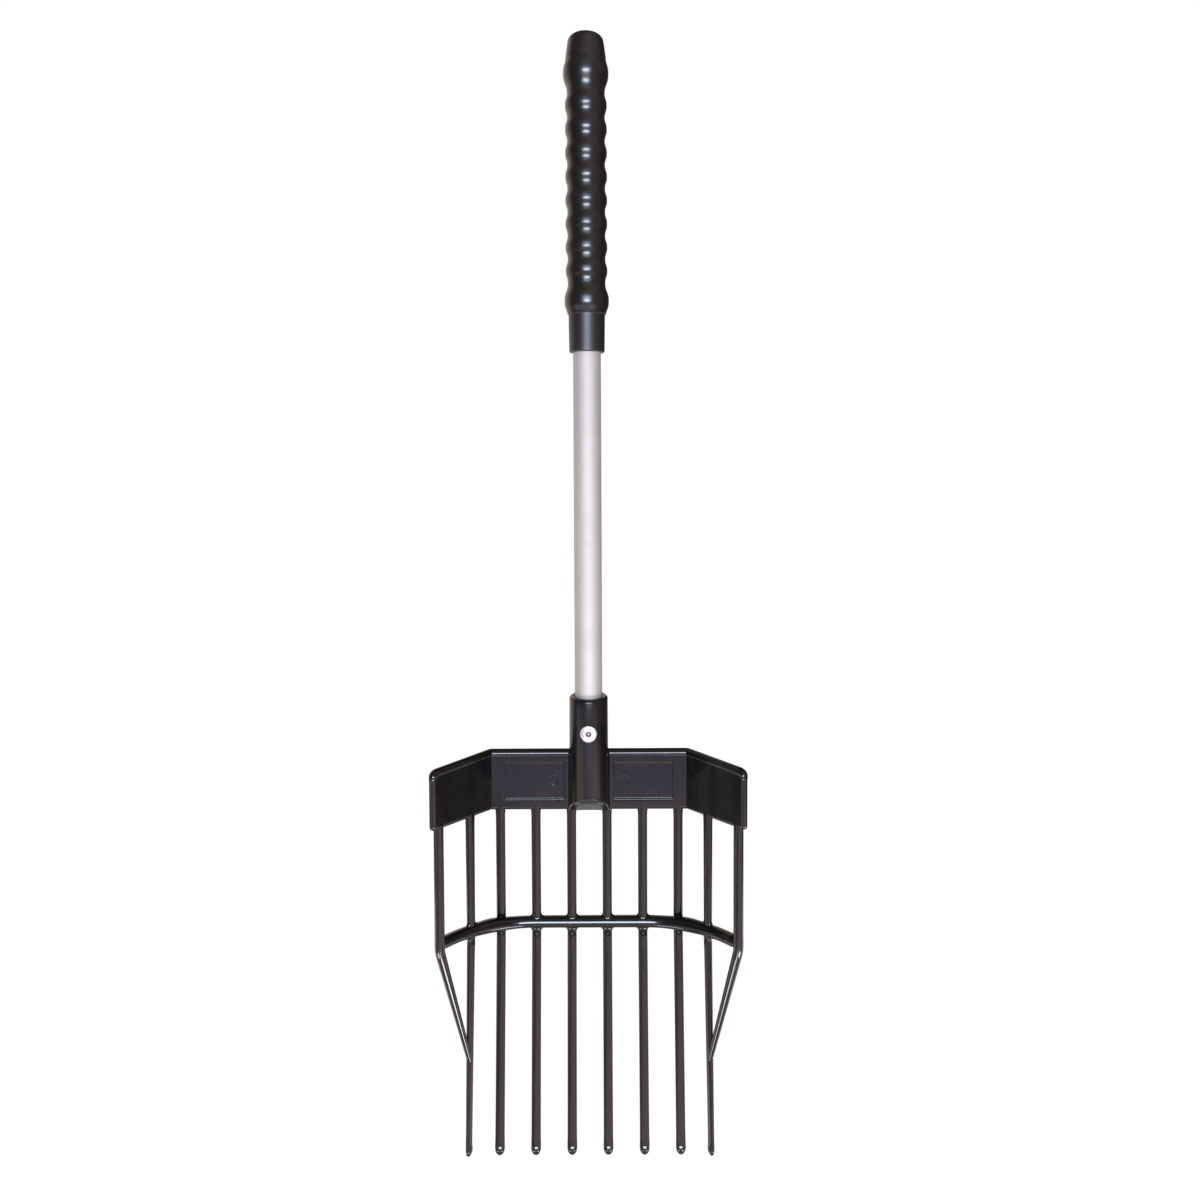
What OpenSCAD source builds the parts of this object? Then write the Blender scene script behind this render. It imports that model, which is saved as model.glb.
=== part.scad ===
// Manure fork: moulded basket head, riveted aluminium tube and a ringed slip-on grip.
// The origin is the centre of the socket rim on the tube's axis. +Z runs up the tube, the open front faces -Y.

/* [Tube] */
// Outside diameter of the aluminium tube
tube_d = 25.4; // [22:0.1:27]
// Wall of the tube
tube_wall = 1.5; // [1:0.1:2.5]
// Bare length between the socket rim and the grip
tube_bare = 315; // [150:1:700]
// Length that is pushed into the socket
tube_in_socket = 78; // [60:1:82]
// Length that is pushed into the grip
tube_in_grip = 272; // [200:1:276]
// Clearance round the tube in the socket and in the grip
tube_fit = 0.15; // [0.05:0.05:0.3]

/* [Grip] */
// Diameter at the lower edge of the plain collar
collar_d = 32.2; // [31:0.1:34]
// Diameter of the collar under the lower bulb
collar_top_d = 33.2; // [31:0.1:35]
// Length of the collar
collar_len = 34.6; // [20:0.1:60]
// Rounding of the collar's lower lip
collar_lip = 1.2; // [0.5:0.1:2]
// Diameter of the lower bulb
low_bulb_d = 40.4; // [37:0.1:46]
// Height of the lower bulb's crest above the collar
low_bulb_rise = 12; // [8:0.1:15]
// Distance from the lower bulb's crest to the first groove
low_bulb_reach = 16.5; // [16:0.1:25]
// Diameter of the finger rings
ring_d = 37.8; // [35:0.1:42]
// Diameter of the grooves
groove_d = 34.2; // [32:0.1:35]
// Distance from ring to ring
ring_pitch = 21.1; // [14:0.1:30]
// Number of finger rings
ring_count = 8; // [4:1:10]
// Diameter of the upper bulb
top_bulb_d = 41; // [37:0.1:46]
// Distance from the last groove to the upper bulb's crest
top_bulb_reach = 18; // [12:0.1:25]
// Diameter of the neck above the upper bulb
neck_d = 36.4; // [34:0.1:38]
// Distance from the upper bulb's crest to the neck
neck_rise = 15; // [10:0.1:20]
// Diameter at the closed end
end_d = 33; // [28:0.1:36]
// Distance from the upper bulb's crest to the closed end
end_rise = 33.4; // [30:0.1:50]
// Rounding of the closed end
end_round = 7; // [3:0.1:9]

/* [Socket] */
// Diameter of the socket at its rim
socket_d = 35.4; // [33:0.1:40]
// Diameter of the socket at its foot
socket_foot_d = 36.4; // [33:0.1:42]
// Rounding of the rim's outer edge
socket_round = 1.4; // [0.5:0.1:2]
// Height of the slope that closes the socket's front
foot_slope = 19.4; // [10:0.1:22]
// Fillet between the socket and the panel
socket_fillet = 3; // [1:0.1:5]

/* [Panel and wings] */
// Drop from the socket rim to the panel's top edge
panel_drop = 51.7; // [45:0.1:60]
// Height of the panel and the wings
panel_h = 57.2; // [50:0.1:80]
// Thickness of the panel and the wings
panel_t = 6.6; // [5:0.1:7]
// Diameter of the round rim along all edges
rim_d = 7.6; // [7.2:0.1:9]
// Distance of the panel's middle plane behind the tube's axis
panel_back = 6; // [0:0.1:8]
// Width of the panel between its two bends
panel_w = 183.8; // [180:0.1:200]
// Angle by which a wing turns forward
wing_angle = 50; // [30:1:60]
// Length of a wing from the bend to its front edge
wing_len = 71.4; // [70:0.1:90]
// Rise of a wing's lower edge towards its front
wing_rise = 3.5; // [0:0.1:10]
// Rounding of a wing's upper front corner
wing_round = 8.3; // [6:0.1:14]
// Width of the shallow recess in each half of the panel
recess_w = 54.6; // [40:0.1:56]
// Height of the recess
recess_h = 35.6; // [20:0.1:40]
// Depth of the recess
recess_depth = 0.6; // [0.3:0.1:1.2]
// Distance of the recess's middle from the tube's axis
recess_x = 50.5; // [48:0.1:54]
// Diameter of the ejector mark in the recess
mark_d = 9; // [5:0.1:12]
// Depth of the ejector mark
mark_depth = 0.3; // [0.1:0.1:0.5]
// Distance of the ejector mark from the tube's axis
mark_x = 33; // [30:0.1:40]

/* [Tines] */
// Number of tine pairs under the panel
tine_pairs = 3; // [2:1:3]
// Distance from tine to tine
tine_pitch = 33.2; // [30:0.1:34]
// Width of a tine
tine_w = 8.7; // [7:0.1:9]
// Thickness of a tine under the panel
tine_root_t = 7; // [5.5:0.1:7]
// Thickness of a tine at its tip
tine_tip_t = 3.4; // [2.5:0.1:5]
// Length of the tines below the panel
tine_len = 310; // [290:0.1:400]
// Length of the outer tines below the wings
outer_tine_len = 296; // [280:0.1:400]
// Distance of an outer tine from the panel's bend, along the wing
outer_tine_at = 25.8; // [20:0.1:32]
// Angle by which the tines lean forward below the crossbar
tine_lean = 7.5; // [0:0.5:15]
// Length of the bend in a tine
tine_bend_len = 24; // [10:1:60]

/* [Crossbar and side rails] */
// Drop from the panel's lower edge to the crossbar
bar_drop = 107.1; // [80:0.1:130]
// Diameter of the crossbar
bar_d = 10.4; // [8.6:0.1:11]
// Straight middle length of the crossbar
bar_straight = 98; // [80:1:104]
// Radius of the webs where the tines cross the bar
web_r = 4; // [2:0.1:6]
// Thickness of those webs
web_t = 4.6; // [3:0.1:5]
// Diameter of the side rails
rail_d = 8.8; // [7.6:0.1:9]
// Diameter of a side rail where it runs into the outer tine
rail_end_d = 5; // [4:0.1:6]
// Distance of a side rail from the panel's bend, along the wing
rail_at = 62.2; // [55:0.1:66]
// Drop from the crossbar to the bend of a side rail
rail_bend_drop = 5; // [0:0.5:20]
// Drop from the panel's lower edge to the place where a side rail meets the outer tine
rail_meet_drop = 216; // [180:1:240]

/* [Rivet] */
// Drop from the socket rim to the rivet
rivet_drop = 30.2; // [20:0.1:40]
// Diameter of the rivet's shank
rivet_d = 4.8; // [4:0.1:6]
// Diameter of the rivet's flange
flange_d = 15.6; // [11:0.1:18]
// Thickness of the flange
flange_t = 1.3; // [0.8:0.1:2]
// Height of the crown on the flange
crown_h = 0.7; // [0.3:0.1:1.2]
// Diameter of the crown on the flange
crown_d = 9.6; // [8:0.1:12]
// Diameter of the set end inside the tube
set_d = 7.4; // [6:0.1:9]
// Length of the set end
set_len = 5; // [4:0.1:8]
// Diameter of the mandrel
mandrel_d = 2.7; // [2:0.1:3.2]
// Depth at which the mandrel has snapped off under the crown
mandrel_snap = 1.6; // [0.5:0.1:3]
// Diameter of the mandrel's head
mandrel_head_d = 4.4; // [3.6:0.1:5.6]
// Length of the mandrel's head
mandrel_head_len = 2.4; // [1.5:0.1:4]
// Clearance round the rivet and the mandrel
rivet_fit = 0.1; // [0.05:0.05:0.2]

/* [Hidden] */
$fn = 64;
// Overrun of every cut, and the reach that clears the whole head
over = 1;
// How far a web sinks into the tine that it stiffens
web_bite = 0.6;
// A ball on a rod's bend is larger than the rod by this
ball_swell = 0.05;
// Rods and arcs that run on into each other stop this far inside the ball at their joint
tuck = 0.3;
// Shape of a tine's section, where 1 is an ellipse and 0 a rectangle
section_share = 0.75;
// How the thinning gathers towards the tip
thin_power_share = 1.6;
// Rings round a tine's tip, as shares of its half width
tip_shares = [0, 0.35, 0.62, 0.82, 0.94];
// Places of the rings along a tine's lower stretch, as shares of it
stretch_shares = [0.3, 0.55, 0.78];
// Points round a tine, and steps on the curved stretches of the grip
tine_sides = 16;
bend_steps = 4;
curve_steps = 8;

black = [0.10, 0.10, 0.11];

rim_r = rim_d / 2;
top_z = -panel_drop - rim_r;
foot_z = -panel_drop - panel_h;
low_z = foot_z + rim_r;
corner_x = panel_w / 2;
wing_end = wing_len - rim_r;
wing_dir = [cos(wing_angle), -sin(wing_angle)];
bar_z = foot_z - bar_drop;
panel_front = panel_back - panel_t / 2;
socket_r = max(socket_d, socket_foot_d) / 2;

// A place on a wing's middle plane, at a distance from the bend, and the middle of its lower rim there
function wing_point(at) = [corner_x, panel_back] + at * wing_dir;
function wing_low(at) = low_z + wing_rise * at / wing_end;

outer_tine = wing_point(outer_tine_at);
rail = wing_point(rail_at);

// The crossbar's arc starts where its straight middle ends and reaches the side rail
bar_run = rail[0] - bar_straight / 2;
bar_reach = (panel_back - rail[1]) / cos(tine_lean);
bar_bend_r = (bar_run ^ 2 + bar_reach ^ 2) / (2 * bar_reach);
bar_arc = asin(bar_run / bar_bend_r);

// How far the crossbar turns and where its middle lies, at a distance from the tube's axis
function bar_turn(x) = asin(max(0, x - bar_straight / 2) / bar_bend_r);
function bar_point(x) =
    let (forward = bar_bend_r * (1 - cos(bar_turn(x))))
    [x, panel_back - forward * cos(tine_lean), bar_z + forward * sin(tine_lean)];

// How far a tine has come forward at a height, with a smooth bend at the crossbar
function lean(z) =
    let (d = bar_z - z, h = tine_bend_len / 2)
    d <= -h ? 0 : tan(tine_lean) * (d >= h ? d : (d + h) ^ 2 / (4 * h));

// Thickness of a tine at a share of its length
function thickness(share) = tine_root_t - (tine_root_t - tine_tip_t) * share ^ thin_power_share;

// A rounded section of a given width and thickness, turned about the vertical and set at a point
function section(point, w, t, turn) = [
    for (i = [0 : tine_sides - 1])
        let (
            a = 360 * i / tine_sides,
            u = w / 2 * sign(cos(a)) * abs(cos(a)) ^ section_share,
            v = t / 2 * sign(sin(a)) * abs(sin(a)) ^ section_share
        )
        point + [u * cos(turn) - v * sin(turn), u * sin(turn) + v * cos(turn), 0]
];

// A solid skinned over a stack of sections, from the top down
module loft(sections) {
    n = len(sections[0]);
    m = len(sections);
    sides = [
        for (k = [0 : m - 2], i = [0 : n - 1])
            let (j = (i + 1) % n, a = k * n, b = a + n)
            each [[a + i, a + j, b + j], [a + i, b + j, b + i]]
    ];
    caps = [[for (i = [n - 1 : -1 : 0]) i], [for (i = [0 : n - 1]) (m - 1) * n + i]];
    polyhedron([for (s = sections) each s], concat(sides, caps), convexity = 4);
}

// A tine that hangs from a place in plan, leans forward below the crossbar and thins to a round tip
module tine(place, root_z, length, turn) {
    tip_z = foot_z - length;
    half_w = tine_w / 2;
    bend_top = bar_z + tine_bend_len / 2;
    bend_foot = bar_z - tine_bend_len / 2;
    tip_top = tip_z + half_w;
    heights = concat(
        [root_z],
        [for (i = [0 : bend_steps]) bend_top - tine_bend_len * i / bend_steps],
        [for (s = stretch_shares) bend_foot + (tip_top - bend_foot) * s],
        [for (s = tip_shares) tip_top - half_w * s]
    );
    loft([
        for (z = heights)
            let (
                share = (root_z - z) / (root_z - tip_z),
                k = max(0, (tip_top - z) / half_w),
                shrink = sqrt(1 - k * k)
            )
            section(
                [place[0], place[1] - lean(z), z],
                tine_w * shrink,
                thickness(share) * (shrink + 1) / 2,
                turn
            )
    ]);
}

// A round rod between two points, which may taper
module rod(a, b, d1, d2) {
    v = b - a;
    translate(a)
        rotate([0, acos(v[2] / norm(v)), atan2(v[1], v[0])])
            cylinder(h = norm(v), d1 = d1, d2 = d2);
}

module ball(point, d) translate(point) sphere(d = d + 2 * ball_swell);

// The two halves of the head mirror each other
module both_sides() for (side = [0, 1]) mirror([side, 0, 0]) children();

// Local frame of the right wing: X runs from the bend to its front edge
module on_wing() translate([corner_x, panel_back, 0]) rotate([0, 0, -wing_angle]) children();

// Plan of the panel and both wings as one bent band, with mitred corners
function band_half(side) =
    let (
        h = side * panel_t / 2,
        bend = [corner_x + h * tan(wing_angle / 2), panel_back + h],
        end = wing_point(wing_end) + h * [sin(wing_angle), cos(wing_angle)]
    )
    [bend, end];

module band() {
    back = band_half(1);
    front = band_half(-1);
    right = [back[0], back[1], front[1], front[0]];
    left = [for (i = [3 : -1 : 0]) [-right[i][0], right[i][1]]];
    translate([0, 0, low_z])
        linear_extrude(top_z - low_z)
            polygon(concat(right, left));
}

// What a wing's outline loses to its round upper corner and its rising lower edge
module wing_cuts() {
    r = wing_round - rim_r;
    on_wing()
        rotate([90, 0, 0])
            linear_extrude(rim_d, center = true) {
                translate([wing_end - r, top_z - r])
                    difference() {
                        square(r + over);
                        circle(r);
                    }
                polygon([
                    [0, low_z - over],
                    [0, low_z],
                    [wing_end + over, wing_low(wing_end + over)],
                    [wing_end + over, low_z - over]
                ]);
            }
}

// The round rim along a wing's top, front and lower edges, a touch fuller than the panel's
module wing_rim() {
    d = rim_d + 2 * ball_swell;
    r = wing_round - rim_r;
    tuck_turn = atan(tuck / r);
    front_foot = [wing_end, 0, wing_low(wing_end)];
    on_wing() {
        rod([0, 0, top_z], [wing_end - r - tuck, 0, top_z], d, d);
        translate([wing_end - r, 0, top_z - r])
            rotate([90, -tuck_turn, 0])
                rotate_extrude(angle = 90 - 2 * tuck_turn)
                    translate([r, 0])
                        circle(d = d);
        rod(front_foot, [wing_end, 0, top_z - r - tuck], d, d);
        rod([0, 0, low_z], front_foot, d, d);
        for (joint = [
            front_foot, [0, 0, low_z], [0, 0, top_z], [wing_end - r, 0, top_z], [wing_end, 0, top_z - r]
        ])
            ball(joint, d);
    }
}

module panel_and_wings() {
    difference() {
        band();
        both_sides() wing_cuts();
    }
    for (z = [low_z, top_z])
        rod([-corner_x, panel_back, z], [corner_x, panel_back, z], rim_d, rim_d);
    both_sides() wing_rim();
}

// The socket's solid body, round outside, with its foot sloped back to the panel
module socket_body() {
    r = socket_d / 2;
    foot_r = socket_foot_d / 2;
    back_rise = (socket_r - panel_back - panel_t / 2) * foot_slope / (socket_r + panel_front);
    intersection() {
        rotate_extrude()
            polygon(concat(
                [[0, foot_z], [foot_r, foot_z]],
                [
                    for (i = [0 : curve_steps])
                        let (a = 90 * i / curve_steps)
                        [r - socket_round * (1 - cos(a)), -socket_round * (1 - sin(a))]
                ],
                [[0, 0]]
            ));
        rotate([90, 0, 90])
            linear_extrude(2 * socket_r + 2 * over, center = true)
                polygon([
                    [-socket_r - over, over],
                    [socket_r + over, over],
                    [socket_r + over, foot_z + back_rise],
                    [panel_back + panel_t / 2, foot_z],
                    [panel_front, foot_z],
                    [-socket_r, foot_z + foot_slope],
                    [-socket_r - over, foot_z + foot_slope]
                ]);
    }
}

// Fillets in the corners between the socket and the panel, front and back
module socket_fillets() {
    for (side = [-1, 1]) {
        face = panel_back + side * panel_t / 2;
        centre_y = face + side * socket_fillet;
        centre_x = sqrt((socket_r + socket_fillet) ^ 2 - centre_y ^ 2);
        inner_x = sqrt(socket_r ^ 2 - face ^ 2) - socket_fillet;
        both_sides()
            translate([0, 0, low_z])
                linear_extrude(top_z - low_z)
                    difference() {
                        polygon([
                            [inner_x, panel_back],
                            [centre_x, panel_back],
                            [centre_x, face],
                            [centre_x * socket_r / (socket_r + socket_fillet),
                                centre_y * socket_r / (socket_r + socket_fillet)],
                            [inner_x, face]
                        ]);
                        translate([centre_x, centre_y]) circle(socket_fillet);
                    }
    }
}

// The crossbar lies square to the lower stretch of the tines and bends round to the two rails
module crossbar() {
    joint_x = bar_straight / 2;
    tuck_turn = atan(tuck / bar_bend_r);
    translate([0, panel_back, bar_z])
        rotate([-tine_lean, 0, 0]) {
            rod([tuck - joint_x, 0, 0], [joint_x - tuck, 0, 0], bar_d, bar_d);
            both_sides() {
                ball([joint_x, 0, 0], bar_d);
                ball([joint_x + bar_run, -bar_reach, 0], bar_d);
                translate([joint_x, -bar_bend_r, 0])
                    rotate([0, 0, 90 - bar_arc + tuck_turn])
                        rotate_extrude(angle = bar_arc - 2 * tuck_turn)
                            translate([bar_bend_r, 0])
                                circle(d = bar_d);
            }
        }
}

// A web with four hollow corners between a tine and the crossbar, where the tine crosses the bar
module web(place) {
    x = place[0];
    bar = bar_point(x);
    half_w = tine_w / 2 + web_r - web_bite;
    half_h = bar_d / 2 + web_r - web_bite;
    translate([x, (bar[1] + place[1] - lean(bar[2])) / 2, bar[2]])
        rotate([90, 0, -bar_turn(x)])
            linear_extrude(web_t, center = true)
                difference() {
                    square([2 * half_w, 2 * half_h], center = true);
                    for (x = [-half_w, half_w], z = [-half_h, half_h])
                        translate([x, z]) circle(web_r);
                }
}

// A side rail drops from the wing, bends inwards below the crossbar and runs into the outer tine
module side_rail() {
    bend = [rail[0], rail[1], bar_z - rail_bend_drop];
    meet_z = foot_z - rail_meet_drop;
    meet = [outer_tine[0], outer_tine[1] - lean(meet_z), meet_z];
    rod([rail[0], rail[1], wing_low(rail_at)], bend, rail_d, rail_d);
    ball(bend, rail_d);
    rod(bend, meet, rail_d, rail_end_d);
    ball(meet, rail_end_d);
}

// The tines of one half, each with its web at the crossbar
module tines() {
    for (i = [1 : tine_pairs]) {
        place = [tine_pitch * (i - 1 / 2), panel_back];
        tine(place, low_z, tine_len, 0);
        web(place);
    }
    tine(outer_tine, wing_low(outer_tine_at), outer_tine_len, -wing_angle);
    web(outer_tine);
}

module panel_recesses() {
    depth_y = panel_front;
    mid_z = -panel_drop - panel_h / 2;
    translate([recess_x - recess_w / 2, depth_y - over, mid_z - recess_h / 2])
        cube([recess_w, over + recess_depth, recess_h]);
    translate([mark_x, depth_y + recess_depth + mark_depth, mid_z])
        rotate([90, 0, 0])
            cylinder(h = over, d = mark_d);
}

// Hole along the rivet's axis, from the middle of the tube out through the front
module rivet_hole(d) {
    translate([0, 0, -rivet_drop])
        rotate([90, 0, 0])
            cylinder(h = socket_r + over, d = d);
}

module fork_head() {
    color(black)
        difference() {
            union() {
                socket_body();
                socket_fillets();
                panel_and_wings();
                both_sides() {
                    tines();
                    side_rail();
                }
                crossbar();
            }
            translate([0, 0, -tube_in_socket])
                cylinder(h = tube_in_socket + over, d = tube_d + 2 * tube_fit);
            rivet_hole(rivet_d + 2 * rivet_fit);
            both_sides() panel_recesses();
        }
}

module shaft_tube() {
    color("silver")
        difference() {
            translate([0, 0, -tube_in_socket])
                cylinder(h = tube_in_socket + tube_bare + tube_in_grip, d = tube_d);
            translate([0, 0, -tube_in_socket - over])
                cylinder(
                    h = tube_in_socket + tube_bare + tube_in_grip + 2 * over,
                    d = tube_d - 2 * tube_wall
                );
            rivet_hole(rivet_d + 2 * rivet_fit);
        }
}

// A swelling that rises from one radius to another over half a wave, as points from the bottom up
function wave(z0, z1, r0, r1) = [
    for (i = [1 : curve_steps])
        let (s = i / curve_steps)
        [r0 + (r1 - r0) * (1 - cos(180 * s)) / 2, z0 + (z1 - z0) * s]
];

// Outline of the grip from its lower edge up to the closed end
function grip_outline() =
    let (
        bulb_z = collar_len + low_bulb_rise,
        first_z = bulb_z + low_bulb_reach,
        last_z = first_z + ring_count * ring_pitch,
        top_bulb_z = last_z + top_bulb_reach,
        end_z = top_bulb_z + end_rise,
        collar_r = collar_d / 2,
        groove_r = groove_d / 2,
        low_r = low_bulb_d / 2,
        cut_share = 1 - low_bulb_rise / low_bulb_reach
    )
    concat(
        [[0, 0]],
        [
            for (i = [0 : curve_steps])
                let (a = 90 * i / curve_steps)
                [collar_r - collar_lip * (1 - sin(a)), collar_lip * (1 - cos(a))]
        ],
        [[collar_top_d / 2, collar_len]],
        [
            for (i = [0 : curve_steps])
                let (s = cut_share + (1 - cut_share) * i / curve_steps)
                [
                    groove_r + (low_r - groove_r) * (1 - cos(180 * s)) / 2,
                    collar_len + low_bulb_rise * i / curve_steps
                ]
        ],
        wave(bulb_z, first_z, low_r, groove_r),
        [
            for (k = [0 : ring_count - 1])
                let (z = first_z + k * ring_pitch)
                each concat(
                    wave(z, z + ring_pitch / 2, groove_r, ring_d / 2),
                    wave(z + ring_pitch / 2, z + ring_pitch, ring_d / 2, groove_r)
                )
        ],
        wave(last_z, top_bulb_z, groove_r, top_bulb_d / 2),
        wave(top_bulb_z, top_bulb_z + neck_rise, top_bulb_d / 2, neck_d / 2),
        [
            for (i = [0 : curve_steps])
                let (a = 90 * i / curve_steps)
                [end_d / 2 - end_round * (1 - cos(a)), end_z - end_round * (1 - sin(a))]
        ],
        [[0, end_z]]
    );

module hand_grip() {
    color(black)
        translate([0, 0, tube_bare])
            difference() {
                rotate_extrude() polygon(grip_outline());
                translate([0, 0, -over])
                    cylinder(h = tube_in_grip + over, d = tube_d + 2 * tube_fit);
            }
}

// The rivet's flange is pressed to the round of the socket, and its set end grips the tube from inside
module rivet_body() {
    seat_r = (socket_d + (socket_foot_d - socket_d) * rivet_drop / -foot_z) / 2 + rivet_fit;
    inside_r = tube_d / 2 - tube_wall - rivet_fit;
    crown_y = seat_r + flange_t + crown_h;
    color("gainsboro")
        translate([0, 0, -rivet_drop])
            difference() {
                union() {
                    intersection() {
                        rotate([90, 0, 0]) cylinder(h = crown_y + over, d = flange_d);
                        difference() {
                            cylinder(h = 2 * flange_d, r = seat_r + flange_t, center = true);
                            cylinder(h = 2 * flange_d + over, r = seat_r, center = true);
                        }
                    }
                    rotate([90, 0, 0])
                        rotate_extrude()
                            polygon([
                                [0, inside_r - set_len],
                                [rivet_d / 2, inside_r - set_len],
                                [set_d / 2, inside_r - set_len / 2],
                                [rivet_d / 2, inside_r],
                                [rivet_d / 2, seat_r + flange_t / 2],
                                [crown_d / 2, seat_r + flange_t / 2],
                                [crown_d / 2, seat_r + flange_t],
                                [(crown_d + mandrel_d) / 4, crown_y],
                                [0, crown_y]
                            ]);
                }
                rotate([90, 0, 0]) cylinder(h = crown_y + over, d = mandrel_d + 2 * rivet_fit);
            }
}

// The steel mandrel is left in the rivet: its head fills the set end, its stem has snapped off inside
module rivet_mandrel() {
    seat_r = (socket_d + (socket_foot_d - socket_d) * rivet_drop / -foot_z) / 2 + rivet_fit;
    inside_r = tube_d / 2 - tube_wall - rivet_fit;
    snap_y = seat_r + flange_t + crown_h - mandrel_snap;
    head_y = inside_r - set_len;
    color("dimgray")
        translate([0, 0, -rivet_drop])
            rotate([90, 0, 0])
                rotate_extrude()
                    polygon([
                        [0, head_y - mandrel_head_len],
                        [mandrel_head_d / 2 - mandrel_head_len / 4, head_y - mandrel_head_len],
                        [mandrel_head_d / 2, head_y - mandrel_head_len / 2],
                        [mandrel_head_d / 2, head_y],
                        [mandrel_d / 2, head_y],
                        [mandrel_d / 2, snap_y],
                        [0, snap_y]
                    ]);
}

fork_head();
shaft_tube();
hand_grip();
rivet_body();
rivet_mandrel();
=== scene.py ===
import math

import bpy
import numpy as np
from mathutils import Matrix


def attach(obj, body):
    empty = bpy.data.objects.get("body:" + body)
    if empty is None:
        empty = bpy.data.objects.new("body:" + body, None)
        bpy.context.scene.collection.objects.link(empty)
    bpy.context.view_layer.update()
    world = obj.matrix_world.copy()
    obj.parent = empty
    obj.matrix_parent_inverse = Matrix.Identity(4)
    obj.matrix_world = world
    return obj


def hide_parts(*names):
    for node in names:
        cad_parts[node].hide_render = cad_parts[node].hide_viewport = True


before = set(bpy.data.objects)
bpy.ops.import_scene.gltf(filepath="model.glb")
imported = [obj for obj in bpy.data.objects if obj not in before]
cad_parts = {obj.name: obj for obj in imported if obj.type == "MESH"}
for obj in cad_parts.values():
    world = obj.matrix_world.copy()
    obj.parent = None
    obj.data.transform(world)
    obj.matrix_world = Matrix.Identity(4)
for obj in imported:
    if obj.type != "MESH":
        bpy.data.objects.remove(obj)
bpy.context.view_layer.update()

# The tube
# A drawn aluminium tube with a satin anodised skin, cut square and lightly deburred.
# Its foot is pushed into the head's socket and its top into the grip. All sizes are in millimetres.
TUBE_R = 12.7
TUBE_WALL = 1.5
TUBE_FOOT = -78.0
TUBE_TOP = 587.0
TUBE_DEBURR = 0.3
SATIN_DARK, SATIN_LIGHT = (0.50, 0.480, 0.446, 1), (0.59, 0.567, 0.530, 1)
SATIN_ROUGHNESS, SATIN_SMUDGE = (0.70, 0.78), 0.05
LINE_TONE, CLOUD_TONE = 0.6, 0.4
DRAWN_STRETCH = 0.006
NOISE_RANGE = (0.3, 0.7)
SMUDGE_RANGE, SCRATCH_RANGE = (0.35, 0.7), (0.63, 0.72)
SCRATCH_TURNS = ((0.5, 0.2, 0.1), (-0.4, 0.3, 1.1))
SHARP_ANGLE = math.radians(38)
MM = 0.001


def skin(name, rings, looped=False):
    """Closed skin over a stack of rings, each a closed row of points: quads join every ring to the next.
    The last ring joins the first where looped. Otherwise a fan about its mean point closes each end ring.
    The faces are turned round if the volume they enclose, summed over tetrahedra, comes out negative."""
    count, around = rings.shape[:2]
    points = rings.reshape(-1, 3)
    row = np.arange(count if looped else count - 1)[:, None] * around
    next_row = (row + around) % (count * around)
    i = np.arange(around)[None, :]
    j = (i + 1) % around
    corners = np.broadcast_arrays(row + i, row + j, next_row + j, next_row + i)
    quads = np.stack(corners, -1).reshape(-1, 4)
    fans = np.zeros((0, 3), int)
    if not looped:
        first, last = len(points), len(points) + 1
        points = np.concatenate([points, rings[[0, -1]].mean(axis=1)])
        i, j, end = i[0], j[0], (count - 1) * around
        fans = np.concatenate([
            np.stack([np.full(around, first), j, i], -1),
            np.stack([np.full(around, last), end + i, end + j], -1),
        ])
    thirds = np.concatenate([quads[:, [0, 1, 2]], quads[:, [0, 2, 3]], fans])
    a, b, c = (points[thirds[:, k]] for k in range(3))
    if np.einsum("ij,ij->", a, np.cross(b, c)) < 0:
        quads, fans = quads[:, ::-1], fans[:, ::-1]
    mesh = bpy.data.meshes.new(name)
    mesh.from_pydata((points * MM).tolist(), [], quads.tolist() + fans.tolist())
    mesh.polygons.foreach_set("use_smooth", np.ones(len(mesh.polygons), bool))
    mesh.set_sharp_from_angle(angle=SHARP_ANGLE)
    piece = bpy.data.objects.new(name, mesh)
    bpy.context.scene.collection.objects.link(piece)
    return piece


def turned(profile, around=128):
    """Rings of a body turned about the Z axis: a point (r, z) gives the circle (r cos a, r sin a, z)."""
    a = np.linspace(0, 2 * np.pi, around, endpoint=False)
    r, z = profile[:, :1], profile[:, 1:]
    return np.stack([r * np.cos(a), r * np.sin(a), z + 0 * a], -1)


def put_on(piece, finish, node):
    """The piece takes its finish, rides on the one body and stands for its CAD node."""
    piece.data.materials.append(finish)
    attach(piece, "root")
    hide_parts(node)


def feed(tree, socket, value):
    """A socket takes a link from another node's output, or else a plain value."""
    if isinstance(value, bpy.types.NodeSocket):
        tree.links.new(value, socket)
    else:
        socket.default_value = value


def add(tree, kind, values=None, **settings):
    """A shader node with its settings, and with values or links for its named sockets."""
    made = tree.nodes.new(kind)
    for key, value in settings.items():
        setattr(made, key, value)
    for key, value in (values or {}).items():
        feed(tree, made.inputs[key], value)
    return made


def finish_of(name, **plain):
    """A material with a Principled BSDF whose plain sockets are set, with its node tree and its shader."""
    made = bpy.data.materials.new(name)
    made.use_nodes = True
    shader = made.node_tree.nodes["Principled BSDF"]
    for key, value in plain.items():
        shader.inputs[key].default_value = value
    return made, made.node_tree, shader


def wire(tree, shader, colour, roughness, height, strength, distance):
    """Joins colour and roughness to the shader, and a height through a bump.
    The bump has a strength from 0 to 1 and a distance in metres."""
    bump = add(tree, "ShaderNodeBump", {"Strength": strength, "Distance": distance, "Height": height})
    tree.links.new(colour, shader.inputs["Base Color"])
    tree.links.new(roughness, shader.inputs["Roughness"])
    tree.links.new(bump.outputs[0], shader.inputs["Normal"])


def noise(tree, place, scale, detail=2.0, roughness=0.5):
    """Fractal noise over a place, as a value from 0 to 1."""
    made = add(tree, "ShaderNodeTexNoise", {
        "Vector": place, "Scale": scale, "Detail": detail, "Roughness": roughness
    })
    return made.outputs["Fac"]


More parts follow.
